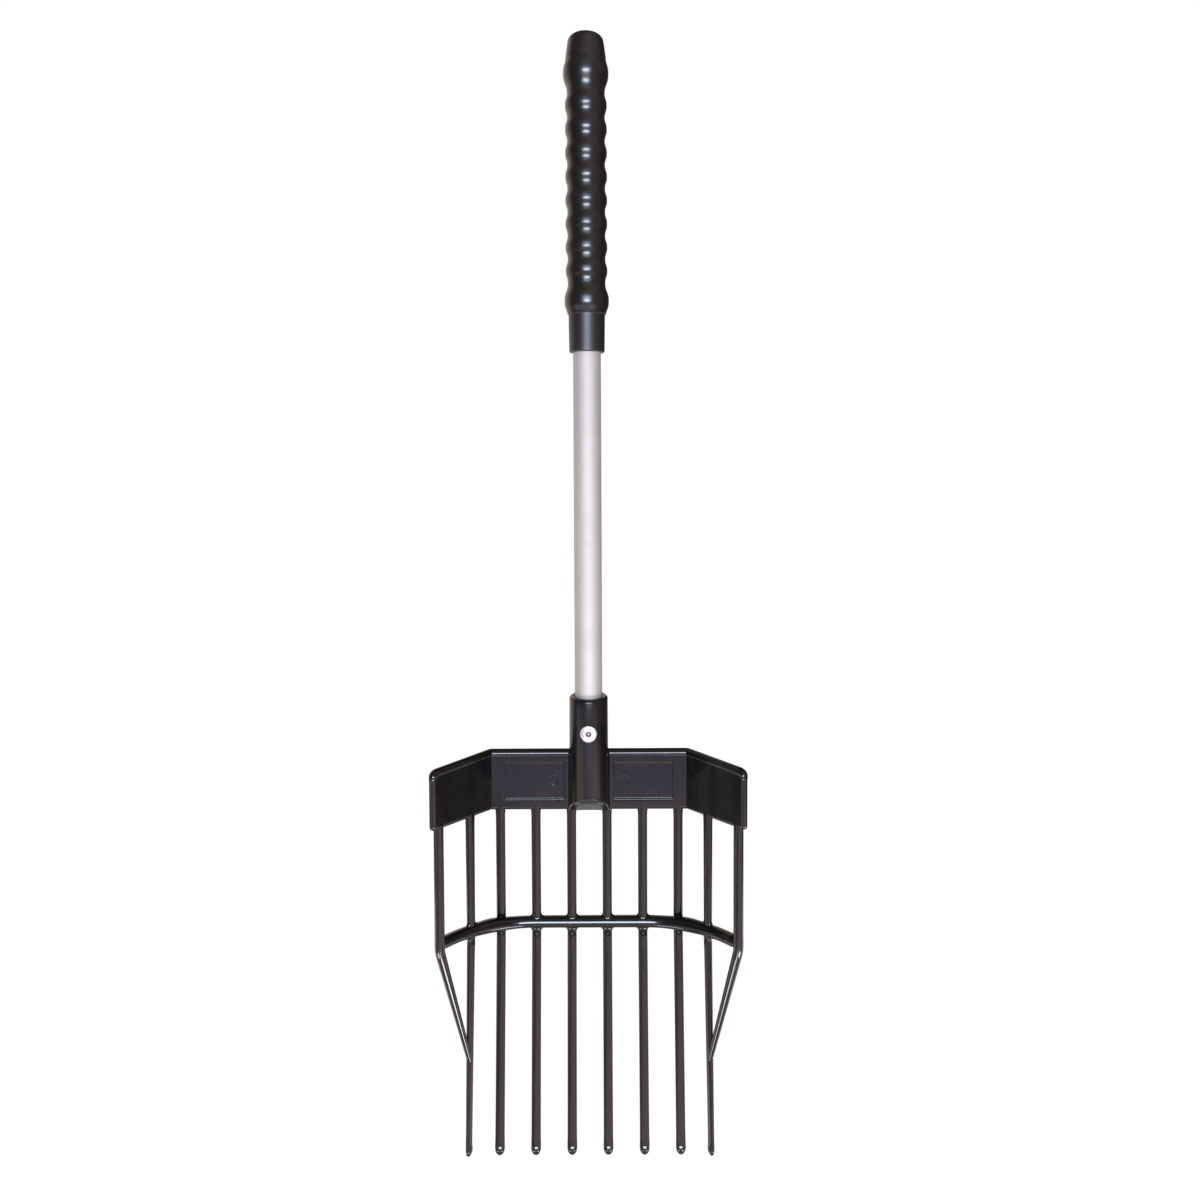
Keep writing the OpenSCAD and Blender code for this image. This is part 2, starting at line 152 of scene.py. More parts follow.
def span(tree, value, to_low, to_high, low=0.0, high=1.0):
    """The value carried from the range low to high into the range to_low to to_high, held at its ends."""
    made = add(tree, "ShaderNodeMapRange", {
        "Value": value, "From Min": low, "From Max": high, "To Min": to_low, "To Max": to_high
    })
    return made.outputs["Result"]


def spread(tree, value, to_low=0.0, to_high=1.0):
    """A noise value carried into a range from the middle range where most of it lies."""
    return span(tree, value, to_low, to_high, *NOISE_RANGE)


def blend_colours(tree, share, first, second):
    """Goes from the first colour to the second with a share from 0 to 1."""
    made = add(tree, "ShaderNodeMix", data_type="RGBA")
    for socket, value in ((made.inputs[0], share), (made.inputs[6], first), (made.inputs[7], second)):
        feed(tree, socket, value)
    return made.outputs[2]


def math_of(tree, operation, first, second):
    """One sum, difference, product or maximum of two values."""
    return add(tree, "ShaderNodeMath", {0: first, 1: second}, operation=operation).outputs[0]


def hand_marks_group():
    """Node group: fine scratches and smudges of use. Two sets of long thin noise streaks, each turned its
    own way, are cut to hair lines, and broad noise decides where they gather."""
    group = bpy.data.node_groups.new("hand_marks", "ShaderNodeTree")
    for title in ("Size", "Stretch"):
        group.interface.new_socket(title, in_out="INPUT", socket_type="NodeSocketFloat")
    for title in ("Scratches", "Smudges"):
        group.interface.new_socket(title, in_out="OUTPUT", socket_type="NodeSocketFloat")
    given = add(group, "NodeGroupInput").outputs
    place = add(group, "ShaderNodeTexCoord").outputs["Object"]
    long = add(group, "ShaderNodeCombineXYZ", {"X": 1.0, "Y": 1.0, "Z": given["Stretch"]}).outputs[0]
    broad = noise(group, place, scale=38.0, detail=4.0, roughness=0.6)
    smudges = span(group, broad, 0.0, 1.0, *SMUDGE_RANGE)
    lines = []
    for turn in SCRATCH_TURNS:
        tilted = add(group, "ShaderNodeMapping", {"Vector": place, "Rotation": turn}).outputs[0]
        drawn = add(group, "ShaderNodeVectorMath", {0: tilted, 1: long}, operation="MULTIPLY").outputs[0]
        streaks = noise(group, drawn, given["Size"], detail=3.0, roughness=0.55)
        lines.append(span(group, streaks, 0.0, 1.0, *SCRATCH_RANGE))
    scratches = math_of(group, "MULTIPLY", math_of(group, "MAXIMUM", *lines), smudges)
    add(group, "NodeGroupOutput", {"Scratches": scratches, "Smudges": smudges})
    return group


hand_marks = hand_marks_group()


def satin_aluminium():
    """Drawn lines run up the tube as noise stretched along Z. They shade the colour and the gloss."""
    made, tree, shader = finish_of("satin_aluminium", Metallic=1.0)
    place = add(tree, "ShaderNodeTexCoord").outputs["Object"]
    drawn = add(tree, "ShaderNodeMapping", {"Vector": place, "Scale": (1.0, 1.0, DRAWN_STRETCH)}).outputs[0]
    lines = noise(tree, drawn, scale=1900.0, detail=3.0, roughness=0.7)
    cloud = noise(tree, place, scale=26.0, detail=3.0)
    marks = add(tree, "ShaderNodeGroup", {"Size": 420.0, "Stretch": 0.05}, node_tree=hand_marks).outputs
    tone = math_of(tree, "ADD", spread(tree, lines, 0.0, LINE_TONE), spread(tree, cloud, 0.0, CLOUD_TONE))
    colour = blend_colours(tree, tone, SATIN_DARK, SATIN_LIGHT)
    dulled = span(tree, marks["Smudges"], 0.0, SATIN_SMUDGE)
    roughness = math_of(tree, "ADD", spread(tree, lines, *SATIN_ROUGHNESS), dulled)
    height = math_of(tree, "SUBTRACT", lines, marks["Scratches"])
    wire(tree, shader, colour, roughness, height, strength=0.06, distance=0.0001)
    return made


def tube_wall_loop(steps=24):
    """Closed loop round the tube's wall in section: up the outside, over the cut edge and down the bore."""
    outer, inner, edge = TUBE_R, TUBE_R - TUBE_WALL, TUBE_DEBURR
    heights = np.linspace(TUBE_FOOT + edge, TUBE_TOP - edge, steps)
    outside = np.stack([np.full(steps, outer), heights], -1)
    inside = np.stack([np.full(steps, inner), heights[::-1]], -1)
    return np.concatenate([
        outside, [[outer - edge, TUBE_TOP], [inner + edge, TUBE_TOP]],
        inside, [[inner + edge, TUBE_FOOT], [outer - edge, TUBE_FOOT]],
    ])


tube = skin("shaft_tube_drawn", turned(tube_wall_loop()), looped=True)
put_on(tube, satin_aluminium(), "shaft_tube")

# The grip
# A slip-on sleeve of black rubber with a plain collar, two bulbs, eight finger rings and a closed end.
# It is moulded in one, with a fine skin, and stays on the tube by its tight fit.
GRIP_FOOT = 315.0
GRIP_BORE_R, GRIP_BORE, GRIP_BORE_EDGE = 12.85, 272.0, 1.0
GRIP_MOUTH, GRIP_MOUTH_RISE = 0.5, 0.6
COLLAR_R, COLLAR_TOP_R, COLLAR = 16.1, 16.6, 34.6
COLLAR_LIP = 1.2
COLLAR_EASE, COLLAR_EASE_RISE = 0.1, 6.0
COVE_R, COVE_OUT, COVE_DROP, COVE_START_DROP = 0.55, 0.5, 0.9, 2.2
LOW_BULB_R, LOW_BULB_RISE, LOW_BULB_REACH = 20.2, 12.0, 16.5
RING_R, GROOVE_R, RING_PITCH, RINGS = 18.9, 17.1, 21.1, 8
TOP_BULB_R, TOP_BULB_REACH = 20.5, 18.0
NECK_R, NECK_RISE = 18.2, 15.0
END_R, END_RISE, END_ROUND, END_ROUND_START = 16.5, 33.4, 7.0, 12
END_FLAT, END_FLAT_RISE, END_CROWN = 3.0, 0.02, 0.05
POLE_R = 0.2
RUBBER_DARK, RUBBER_LIGHT = (0.0028, 0.0024, 0.0026, 1), (0.0052, 0.0045, 0.0046, 1)
RUBBER_ROUGHNESS = (0.235, 0.285)
RUBBER_GRAIN_DULLING, RUBBER_GRAIN_HEIGHT = 0.03, 0.05
COLLAR_DULLER, COLLAR_DULLER_FADE = 0.18, 1.0


def swell(s):
    """Goes from 0 to 1 with a slope that follows a squared sine: flat at both ends and steep half-way."""
    return s - np.sin(2 * np.pi * s) / (2 * np.pi)


def half_wave(z0, z1, r0, r1, steps=24, start=0.0):
    """Radius that swells from r0 to r1 while the height goes from z0 to z1.
    A start above 0 leaves out that share of the wave at its foot."""
    s = np.linspace(start, 1, steps, endpoint=False)
    t = (s - start) / (1 - start)
    return np.stack([r0 + (r1 - r0) * swell(s), z0 + (z1 - z0) * t], -1)


def arc_of(r, z, radius, start, end, steps=9):
    """Arc of a radius about the point (r, z), from one angle to another in degrees."""
    a = np.radians(np.linspace(start, end, steps))
    return np.stack([r + radius * np.cos(a), z + radius * np.sin(a)], -1)


def finger_ring(z, steps=44):
    """One ring from groove to groove: it swells up to its crest half-way and back in the same way."""
    t = np.linspace(0, 1, steps, endpoint=False)
    arch = swell(1 - np.abs(2 * t - 1))
    return np.stack([GROOVE_R + (RING_R - GROOVE_R) * arch, z + RING_PITCH * t], -1)


def grip_profile():
    """Section of the grip from the bore's closed top down to the lip, then up over collar, bulbs and rings.
    A small cove parts the collar from the lower bulb. Each bulb is one swelling up and one down."""
    foot = GRIP_FOOT
    collar_top = foot + COLLAR
    crest = collar_top + LOW_BULB_RISE
    first = crest + LOW_BULB_REACH
    last = first + RINGS * RING_PITCH
    top = last + TOP_BULB_REACH
    end = top + END_RISE
    grooves = first + RING_PITCH * np.arange(RINGS)
    bore_top = foot + GRIP_BORE
    bore = [[POLE_R, bore_top], [GRIP_BORE_R - GRIP_BORE_EDGE, bore_top]]
    bore += [[GRIP_BORE_R, z] for z in np.linspace(bore_top - GRIP_BORE_EDGE, foot + GRIP_MOUTH_RISE, 15)]
    low_bulb_start = 1 - LOW_BULB_RISE / LOW_BULB_REACH
    return np.concatenate([
        bore, [[GRIP_BORE_R + GRIP_MOUTH, foot]],
        arc_of(COLLAR_R - COLLAR_LIP, foot + COLLAR_LIP, COLLAR_LIP, -90, 0),
        [[COLLAR_R + COLLAR_EASE, foot + COLLAR_EASE_RISE]],
        [[COLLAR_TOP_R + COVE_OUT - COVE_R, collar_top - COVE_START_DROP]],
        arc_of(COLLAR_TOP_R + COVE_OUT, collar_top - COVE_DROP, COVE_R, 180, 100, steps=5),
        half_wave(collar_top, crest, GROOVE_R, LOW_BULB_R, start=low_bulb_start),
        half_wave(crest, first, LOW_BULB_R, GROOVE_R),
        *[finger_ring(z) for z in grooves],
        half_wave(last, top, GROOVE_R, TOP_BULB_R),
        half_wave(top, top + NECK_RISE, TOP_BULB_R, NECK_R),
        arc_of(END_R - END_ROUND, end - END_ROUND, END_ROUND, END_ROUND_START, 90, steps=14),
        [[END_R - END_ROUND - END_FLAT, end + END_FLAT_RISE], [POLE_R, end + END_CROWN]],
    ])


def black_rubber():
    """Black rubber with a soft gloss. Fine grain lies over broad waves, and smudges dull the gloss in
    patches. The plain collar is duller than the rings."""
    made, tree, shader = finish_of("black_rubber", IOR=1.62)
    place = add(tree, "ShaderNodeTexCoord").outputs["Object"]
    grain = noise(tree, place, scale=2600.0)
    wave = noise(tree, place, scale=120.0)
    marks = add(tree, "ShaderNodeGroup", {"Size": 300.0, "Stretch": 0.12}, node_tree=hand_marks).outputs
    tone = spread(tree, noise(tree, place, scale=60.0, detail=4.0, roughness=0.6))
    colour = blend_colours(tree, tone, RUBBER_DARK, RUBBER_LIGHT)
    rise = add(tree, "ShaderNodeSeparateXYZ", {0: place}).outputs["Z"]
    collar_top = (GRIP_FOOT + COLLAR) * MM
    satin = span(tree, rise, COLLAR_DULLER, 0.0, collar_top - COLLAR_DULLER_FADE * MM, collar_top)
    fine = math_of(tree, "ADD", spread(tree, grain, 0.0, RUBBER_GRAIN_DULLING), satin)
    roughness = math_of(tree, "ADD", span(tree, marks["Smudges"], *RUBBER_ROUGHNESS), fine)
    height = math_of(tree, "ADD", span(tree, grain, 0.0, RUBBER_GRAIN_HEIGHT), wave)
    wire(tree, shader, colour, roughness, height, strength=0.05, distance=0.0004)
    return made


grip = skin("hand_grip_sleeve", turned(grip_profile(), around=144))
put_on(grip, black_rubber(), "hand_grip")

# The head's panel and wings
# The head is one injection moulding in tough black plastic. Its upper edge is a flat panel with two wings
# bent forward, all with a round rim. Two shallow recesses, each with an ejector mark, flank the socket.
PANEL_Y = 6.0
PANEL_T = 6.6
RIM_R, LOW_RIM_R = 3.85, 3.3
PANEL_TOP, PANEL_LOW = -51.7, -108.9
PANEL_MIDDLE = (PANEL_TOP + PANEL_LOW) / 2
BEND_X, BEND_R = 91.9, 3.8
WING_TURN = math.radians(50)
WING, WING_RISE = 71.4, 3.5
WING_ROUND, WING_ROUND_SHARE = 8.3, 0.9
WING_LOW_ROUND, WING_LOW_ROUND_SHARE = 4.2, 0.8
WING_EDGE_SHARE, WING_ROUND_TURN = 0.9997, 0.995 * math.pi / 2
RECESS_X, RECESS_W, RECESS_H, RECESS_DEPTH = 50.5, 54.6, 35.6, 0.75
STEP_EDGE, DRAFT_EDGE = 0.5, 0.85
MARK_X, MARK_R, MARK_DEPTH, MARK_EDGE = 33.0, 4.5, 0.12, 0.5
MARK_RIB, MARK_RIB_REACH = 0.35, 0.7
PANEL_GRID, MARK_GRID = 3.0, 0.45
MARK_MARGIN, BEND_MARGIN, FACE_MARGIN = 1.0, 2.0, 0.4
PLASTIC_DARK, PLASTIC_LIGHT = (0.0034, 0.0031, 0.0032, 1), (0.0062, 0.0056, 0.0055, 1)
PLASTIC_SCRATCH = (0.035, 0.033, 0.032, 1)
SCRATCH_TINT, SCRATCH_DULLING, SCRATCH_DEPTH, GRAIN_HEIGHT = 0.18, 0.08, 0.05, 0.03
PANEL_SHEEN, SMUDGE_DULLING = 0.10, 1.3
BEND_TANGENT = BEND_R * math.tan(WING_TURN / 2)
BEND_RUN = BEND_X - BEND_TANGENT
BEND_END = BEND_RUN + BEND_R * WING_TURN
WING_END = BEND_END + WING - BEND_TANGENT


def bell(distance, reach):
    """Goes from 1 in the middle towards 0 on both sides, as e to the power of -(distance / reach)^2."""
    return np.exp(-(distance / reach) ** 2)


def smooth_step(t):
    """Goes from 0 to 1 as 3 t^2 - 2 t^3, and is held at its ends."""
    t = np.clip(t, 0, 1)
    return t * t * (3 - 2 * t)


def bent_path(s):
    """Plan of the panel's middle plane: straight, an arc of BEND_R through the wing's turn, straight again.
    Gives x, y and the back-facing normal at a run s from the middle, negative to the left."""
    run = np.abs(s)
    before = np.minimum(run, BEND_RUN)
    turn = np.clip((run - BEND_RUN) / BEND_R, 0, WING_TURN)
    after = np.maximum(run - BEND_END, 0)
    side = np.where(s < 0, -1.0, 1.0)
    x = before + BEND_R * np.sin(turn) + after * math.cos(WING_TURN)
    y = PANEL_Y - BEND_R * (1 - np.cos(turn)) - after * math.sin(WING_TURN)
    return side * x, y, side * np.sin(turn), np.cos(turn)


def step_lines(*edges, reach=STEP_EDGE):
    """Grid lines close together across each edge, so that the soft step there keeps its shape."""
    return np.concatenate([e + reach * np.linspace(-1, 1, 9) for e in edges])


def mark_lines(middle):
    """Grid lines close together across the ejector mark."""
    reach = MARK_R + MARK_MARGIN
    return np.arange(middle - reach, middle + reach, MARK_GRID)


def panel_stations():
    """Runs along the bent path, close together at the recess, its mark, the bend and the front edge."""
    half = np.concatenate([
        np.arange(0, BEND_RUN, PANEL_GRID),
        step_lines(RECESS_X - RECESS_W / 2, RECESS_X + RECESS_W / 2),
        mark_lines(MARK_X),
        np.linspace(BEND_RUN, BEND_END, 7),
        np.arange(BEND_END + BEND_MARGIN, WING_END - WING_ROUND, PANEL_GRID),
        WING_END - WING_ROUND * (1 - np.sin(np.linspace(0, WING_ROUND_TURN, 26))),
    ])
    half = np.unique(np.round(half, 3))
    return np.concatenate([-half[:0:-1], half])


def wing_edges(run):
    """How the section changes at a run from the middle. Its thickness falls by a quarter circle to a round
    front edge, the bead's centre follows the round upper corner, and the foot's centre rises along the wing
    and round the lower corner. Gives the thickness share and both heights."""
    along = np.clip((run - BEND_RUN) / (WING_END - BEND_RUN), 0, 1)
    into = np.clip((run - WING_END + RIM_R) / RIM_R, 0, 1)
    thin = np.sqrt(1 - (WING_EDGE_SHARE * into) ** 2)
    corner = WING_ROUND_SHARE * np.clip(run - WING_END + WING_ROUND, 0, WING_ROUND)
    top = PANEL_TOP - WING_ROUND + np.sqrt(WING_ROUND ** 2 - corner ** 2) - RIM_R
    low_corner = WING_LOW_ROUND_SHARE * np.clip(run - WING_END + WING_LOW_ROUND, 0, WING_LOW_ROUND)
    rise = WING_RISE * along + WING_LOW_ROUND - np.sqrt(WING_LOW_ROUND ** 2 - low_corner ** 2)
    return thin, top, PANEL_LOW + rise + LOW_RIM_R


def panel_section():
    """The upright section as a closed row of points: up the flat front, over a round bead, down the flat
    back and round the foot. Gives each point's offset from the middle plane, its share of the way up from
    the foot's centre to the bead's, its lift from there, and whether it is on the front."""
    half_t = PANEL_T / 2
    rim_turn = math.acos(half_t / RIM_R)
    drop = RIM_R * math.sin(rim_turn)
    bead = np.linspace(-rim_turn, np.pi + rim_turn, 21)
    foot = np.linspace(0, np.pi, 17)
    face_low, face_high = PANEL_LOW + LOW_RIM_R, PANEL_TOP - RIM_R - drop
    lines = np.concatenate([
        np.linspace(face_low, face_high, 12)[1:-1],
        [face_low + FACE_MARGIN, face_high - FACE_MARGIN],
        step_lines(PANEL_MIDDLE + RECESS_H / 2),
        step_lines(PANEL_MIDDLE - RECESS_H / 2, reach=DRAFT_EDGE),
        mark_lines(PANEL_MIDDLE),
    ])
    front = (np.unique(np.round(lines, 3)) - face_low) / (face_high - face_low)
    back = np.linspace(0, 1, 10)[1:-1][::-1]
    faces = [np.full(len(front), -half_t), np.full(len(back), half_t)]
    offset = np.concatenate([faces[0], -RIM_R * np.cos(bead), faces[1], LOW_RIM_R * np.cos(foot)])
    share = np.concatenate([front, np.ones(len(bead)), back, np.zeros(len(foot))])
    lift = np.concatenate([-drop * front, RIM_R * np.sin(bead), -drop * back, -LOW_RIM_R * np.sin(foot)])
    return offset, share, lift, np.arange(len(offset)) < len(front)


def sunk_depth(run, z):
    """Depth of the front below its plane at a run from the middle and a height. A smooth step, widest along
    its foot, sinks the recess. The ejector mark is a shallow disc in it with a faint rib round its edge."""
    inside_x = RECESS_W / 2 - np.abs(run - RECESS_X)
    inside_z = RECESS_H / 2 - np.abs(z - PANEL_MIDDLE)
    edge_z = np.where(z < PANEL_MIDDLE, DRAFT_EDGE, STEP_EDGE)
    recess = smooth_step(np.minimum(inside_x / (2 * STEP_EDGE), inside_z / (2 * edge_z)) + 0.5)
    from_mark = np.hypot(run - MARK_X, z - PANEL_MIDDLE)
    mark = np.clip((MARK_R - from_mark) / MARK_EDGE + 0.5, 0, 1)
    return RECESS_DEPTH * recess + MARK_DEPTH * (mark - MARK_RIB * bell(from_mark - MARK_R, MARK_RIB_REACH))


def panel_rings():
    """The upright section of panel and wings, carried along the bent path and set off along its normal."""
    s = panel_stations()
    x, y, nx, ny = (part[:, None] for part in bent_path(s))
    run = np.abs(s)[:, None]
    thin, top, low = wing_edges(run)
    offset, share, lift, is_front = panel_section()
    z = low + (top - low) * share + lift
    n = thin * offset + sunk_depth(run, z) * is_front
    return np.stack([x + n * nx, y + n * ny, z], -1)


def black_plastic(name, sheen):
    """Black moulding plastic with a given roughness. Orange peel lies under a faint grain, hand marks dull
    it and leave grey hair lines, and the tone drifts a little over the part."""
    made, tree, shader = finish_of(name, IOR=1.46)
    place = add(tree, "ShaderNodeTexCoord").outputs["Object"]
    peel = noise(tree, place, scale=110.0, detail=1.0)
    grain = noise(tree, place, scale=3200.0)
    marks = add(tree, "ShaderNodeGroup", {"Size": 260.0, "Stretch": 0.10}, node_tree=hand_marks).outputs
    tone = spread(tree, noise(tree, place, scale=34.0, detail=4.0, roughness=0.6))
    base = blend_colours(tree, tone, PLASTIC_DARK, PLASTIC_LIGHT)
    tint, scuff, depth = (
        span(tree, marks["Scratches"], 0.0, most) for most in (SCRATCH_TINT, SCRATCH_DULLING, SCRATCH_DEPTH)
    )
    colour = blend_colours(tree, tint, base, PLASTIC_SCRATCH)
    roughness = math_of(tree, "ADD", span(tree, marks["Smudges"], sheen, SMUDGE_DULLING * sheen), scuff)
    height = math_of(tree, "ADD", peel, span(tree, grain, 0.0, GRAIN_HEIGHT))
    cut = math_of(tree, "SUBTRACT", height, depth)
    wire(tree, shader, colour, roughness, cut, strength=0.03, distance=0.0005)
    return made


plastic = black_plastic("black_plastic", PANEL_SHEEN)
panel = skin("head_panel", panel_rings())
put_on(panel, plastic, "fork_head")

# The head's socket
# A thick round socket, moulded in one with the panel, with fillets between them. The tube goes in from
# above. Its foot is closed and slopes up from under the panel, to the front and to the back. Its skin is
# duller than the panel's.
SOCKET_R, SOCKET_FOOT_R = 17.7, 18.2
SOCKET_BORE_R, SOCKET_BORE = 12.85, 78.0
SOCKET_MOUTH = ((0.0, -1.2), (0.25, -0.5), (0.8, -0.08), (1.4, 0.0))
SOCKET_ROUND = 2.4
SOCKET_FILLET = 3.0
FILLET_DROP, FILLET_FADE = 0.8, 3.2
FILLET_ANGLES, FILLET_SPREAD = (4, 32, 148, 176), 12
OVER_FILLET, FILLET_FROM, FILLET_TO, UNDER_FILLET = 0.42, 0.44, 0.60, 0.65
FOOT_SLOPE = 17.0
FOOT_ROUND = 1.9
FOOT_SHARES = (0.8, 0.6, 0.4, 0.2, 0.02)
SOCKET_SHEEN = 0.19


def fillet_reach(b, cx, cy):
    """Distance from the axis, along a ray at the angle b, to the near side of a circle about (cx, cy)."""
    ray = cx * np.cos(b) + cy * np.sin(b)
    return ray - np.sqrt(np.maximum(ray ** 2 - cx ** 2 - cy ** 2 + SOCKET_FILLET ** 2, 0))


def socket_outline(a, z):
    """Radius of the socket in plan at the angles a and heights z. Beside the panel it follows the near side
    of a fillet circle that touches both, and inside the panel it goes from one fillet to the other. Above
    the panel's top edge the fillets fade out."""
    r = SOCKET_R + (SOCKET_FOOT_R - SOCKET_R) * z / PANEL_LOW
    b = np.arctan2(np.sin(a), np.abs(np.cos(a)))
    reach = SOCKET_FOOT_R + SOCKET_FILLET
    flare = np.zeros_like(b)
    ends = []
    for side in (-1, 1):
        cy = PANEL_Y + side * (PANEL_T / 2 + SOCKET_FILLET)
        cx = math.sqrt(reach ** 2 - cy ** 2)
        start = math.atan2(cy, cx)
        touch = math.atan2(cy - SOCKET_FILLET, cx) if side > 0 else start + math.asin(SOCKET_FILLET / reach)
        zone = (b - start) * (b - touch) <= 0
        flare = np.where(zone, fillet_reach(b, cx, cy) - SOCKET_FOOT_R, flare)
        ends.append((touch, fillet_reach(touch, cx, cy) - SOCKET_FOOT_R))
    (low, low_flare), (high, high_flare) = ends
    between = low_flare + (high_flare - low_flare) * (b - low) / (high - low)
    flare = np.where((b > low) & (b < high), between, flare)
    return r + flare * smooth_step((PANEL_TOP - FILLET_DROP - z) / FILLET_FADE)


def foot_height(y):
    """Height of the socket's underside at a depth y: flat under the panel, rising to the front and back."""
    front, back = PANEL_Y - PANEL_T / 2, PANEL_Y + PANEL_T / 2
    slope = FOOT_SLOPE / (SOCKET_FOOT_R + front)
    return PANEL_LOW + slope * (np.maximum(front - y, 0) + np.maximum(y - back, 0))


def socket_rings():
    """Rings from the floor of the bore up its wall, over the rim, down the outside and in under the foot.
    They lie close together where the fillets start, and their points do so beside the panel."""
    spots = [np.linspace(c - FILLET_SPREAD, c + FILLET_SPREAD, 49) for c in FILLET_ANGLES]
    degrees = np.concatenate([np.arange(0, 360, 3.0), *spots]) % 360
    a = np.radians(np.unique(np.round(degrees, 3)))
    bore = [[POLE_R, -SOCKET_BORE], [SOCKET_BORE_R, -SOCKET_BORE], [SOCKET_BORE_R, -SOCKET_BORE / 2]]
    bore += [[SOCKET_BORE_R + out, rise] for out, rise in SOCKET_MOUTH]
    rim = arc_of(SOCKET_R - SOCKET_ROUND, -SOCKET_ROUND, SOCKET_ROUND, 90, 0)
    fixed = np.concatenate([bore, rim])
    r = [np.full(len(a), p[0]) for p in fixed]
    z = [np.full(len(a), p[1]) for p in fixed]
    foot_r = socket_outline(a, np.full(len(a), PANEL_LOW))
    edge = foot_height(foot_r * np.sin(a)) + FOOT_ROUND
    shares = np.concatenate([
        np.linspace(0, OVER_FILLET, 6)[1:],
        np.linspace(FILLET_FROM, FILLET_TO, 16),
        np.linspace(UNDER_FILLET, 1, 10),
    ])
    for t in shares:
        z.append(-SOCKET_ROUND + (edge + SOCKET_ROUND) * t)
        r.append(socket_outline(a, z[-1]))
    for t in np.linspace(0, np.pi / 2, 8)[1:]:
        r.append(foot_r - FOOT_ROUND * (1 - np.cos(t)))
        z.append(edge - FOOT_ROUND * np.sin(t))
    for t in FOOT_SHARES:
        r.append((foot_r - FOOT_ROUND) * t)
        z.append(foot_height(r[-1] * np.sin(a)))
    r, z = np.array(r), np.array(z)
    return np.stack([r * np.cos(a), r * np.sin(a), z], -1)


socket = skin("head_socket", socket_rings())
put_on(socket, black_plastic("black_plastic_satin", SOCKET_SHEEN), "fork_head")

# The tines and the crossbar
# Six tines hang from the panel and one from each wing. They are oval rods that thin towards round tips and
# lean forward below the crossbar. The bar is a round rod, bent forward at both ends, with a fillet wherever
# a tine crosses it.
TINE_W = 8.7
TINE_ROOT_T, TINE_TIP_T, TINE_THIN_POWER = 7.0, 3.4, 1.6
TINE_POWER = 0.88
TINE_PITCH = 33.2
TINE, OUTER_TINE = 310.0, 296.0
OUTER_TINE_AT, OUTER_TINE_NARROWING = 25.8, 0.24
TINE_LEAN = math.radians(7.5)
TINE_BEND = 24.0
ROOT_FLARE, ROOT_FLARE_FADE = 0.16, 1.6
TIP_ROUND, TIP_ROUND_POWER, TIP_ROUND_TURN = 6.0, 0.7, 0.98 * math.pi / 2
TIP_WIDENING, TIP_WIDENING_AT = 0.05, 7.0
TIP_SWELLING, TIP_SWELLING_AT, TIP_SWELLING_REACH = 1.0, 5.0, 3.4
UNDER_BAR_SWELLING, UNDER_BAR_SWELLING_AT, UNDER_BAR_SWELLING_REACH = 0.5, 12.0, 4.0
BAR_Z = -216.0
BAR_R, BAR_POWER = 5.2, 0.82
BAR_STRAIGHT = 49.0
BAR_FACE = math.radians(6)
BAR_END, BAR_END_THINNER = 3.5, 0.2
KNEE_X, KNEE_REACH, KNEE_SHARE, KNEE_LIFT_SHARE = 90.0, 14.0, 0.16, 0.6
CROSSING_FILLET, CROSSING_FILLET_POWER = 3.6, 1.5
CROSSING_PAST, CROSSING_FADE = 0.4, 1.6
CROSSING_THICKER, CROSSING_THICK_REACH, CROSSING_THICK_FADE = 0.25, 3.4, 0.9
OVER_BAR, UNDER_BAR, OVER_TIP = 17.0, 15.0, 24.0
RAIL_AT = 62.2
WING_DIRECTION = np.array([math.cos(WING_TURN), -math.sin(WING_TURN)])


def wing_place(at):
    """A place in plan on the right wing's middle plane, at a distance from the bend."""
    return np.array([BEND_X, PANEL_Y]) + at * WING_DIRECTION


def wing_foot(at):
    """Height a little above a wing's lower edge at a distance from the bend, where a rod is rooted."""
    return PANEL_LOW + RIM_R + WING_RISE * at / (WING - RIM_R)


RAIL_X, RAIL_Y = wing_place(RAIL_AT)
BAR_REACH = (PANEL_Y - RAIL_Y) / math.cos(TINE_LEAN)
BAR_BEND_R = ((RAIL_X - BAR_STRAIGHT) ** 2 + BAR_REACH ** 2) / (2 * BAR_REACH)


def bar_line(x):
    """Middle line of the crossbar at a distance x: straight, then an arc that reaches the side rails. It
    lies in a plane square to the leaning tines. Gives its points and how far it has turned there."""
    turn = np.arcsin(np.clip(np.abs(x) - BAR_STRAIGHT, 0, None) / BAR_BEND_R)
    forward = BAR_BEND_R * (1 - np.cos(turn))
    y, z = PANEL_Y - forward * math.cos(TINE_LEAN), BAR_Z + forward * math.sin(TINE_LEAN)
    return np.stack([x, y, z], -1), turn


def lean(z):
    """How far forward a tine has come at a height: none above the bend, a parabola in it, a slope below."""
    d, h = BAR_Z - z, TINE_BEND / 2
    return math.tan(TINE_LEAN) * np.where(d >= h, d, np.where(d <= -h, 0, (d + h) ** 2 / (4 * h)))


def signed_power(value, power):
    """The value's size raised to a power, with its sign kept. On a sine and a cosine a power under 1 gives a
    section that is fuller than an ellipse."""
    return np.sign(value) * np.abs(value) ** power


def tine_heights(root, tip):
    """Heights of a tine's rings from its root down, close together at the bar and at the tip."""
    over_bar, under_bar, over_tip = BAR_Z + OVER_BAR, BAR_Z - UNDER_BAR, tip + OVER_TIP
    return np.concatenate([
        np.linspace(root, over_bar, 10, endpoint=False),
        np.linspace(over_bar, under_bar, 60, endpoint=False),
        np.linspace(under_bar, over_tip, 22, endpoint=False),
        np.linspace(over_tip, tip + TIP_ROUND, 18, endpoint=False),
        tip + TIP_ROUND * (1 - np.sin(np.linspace(0, TIP_ROUND_TURN, 16))),
    ])


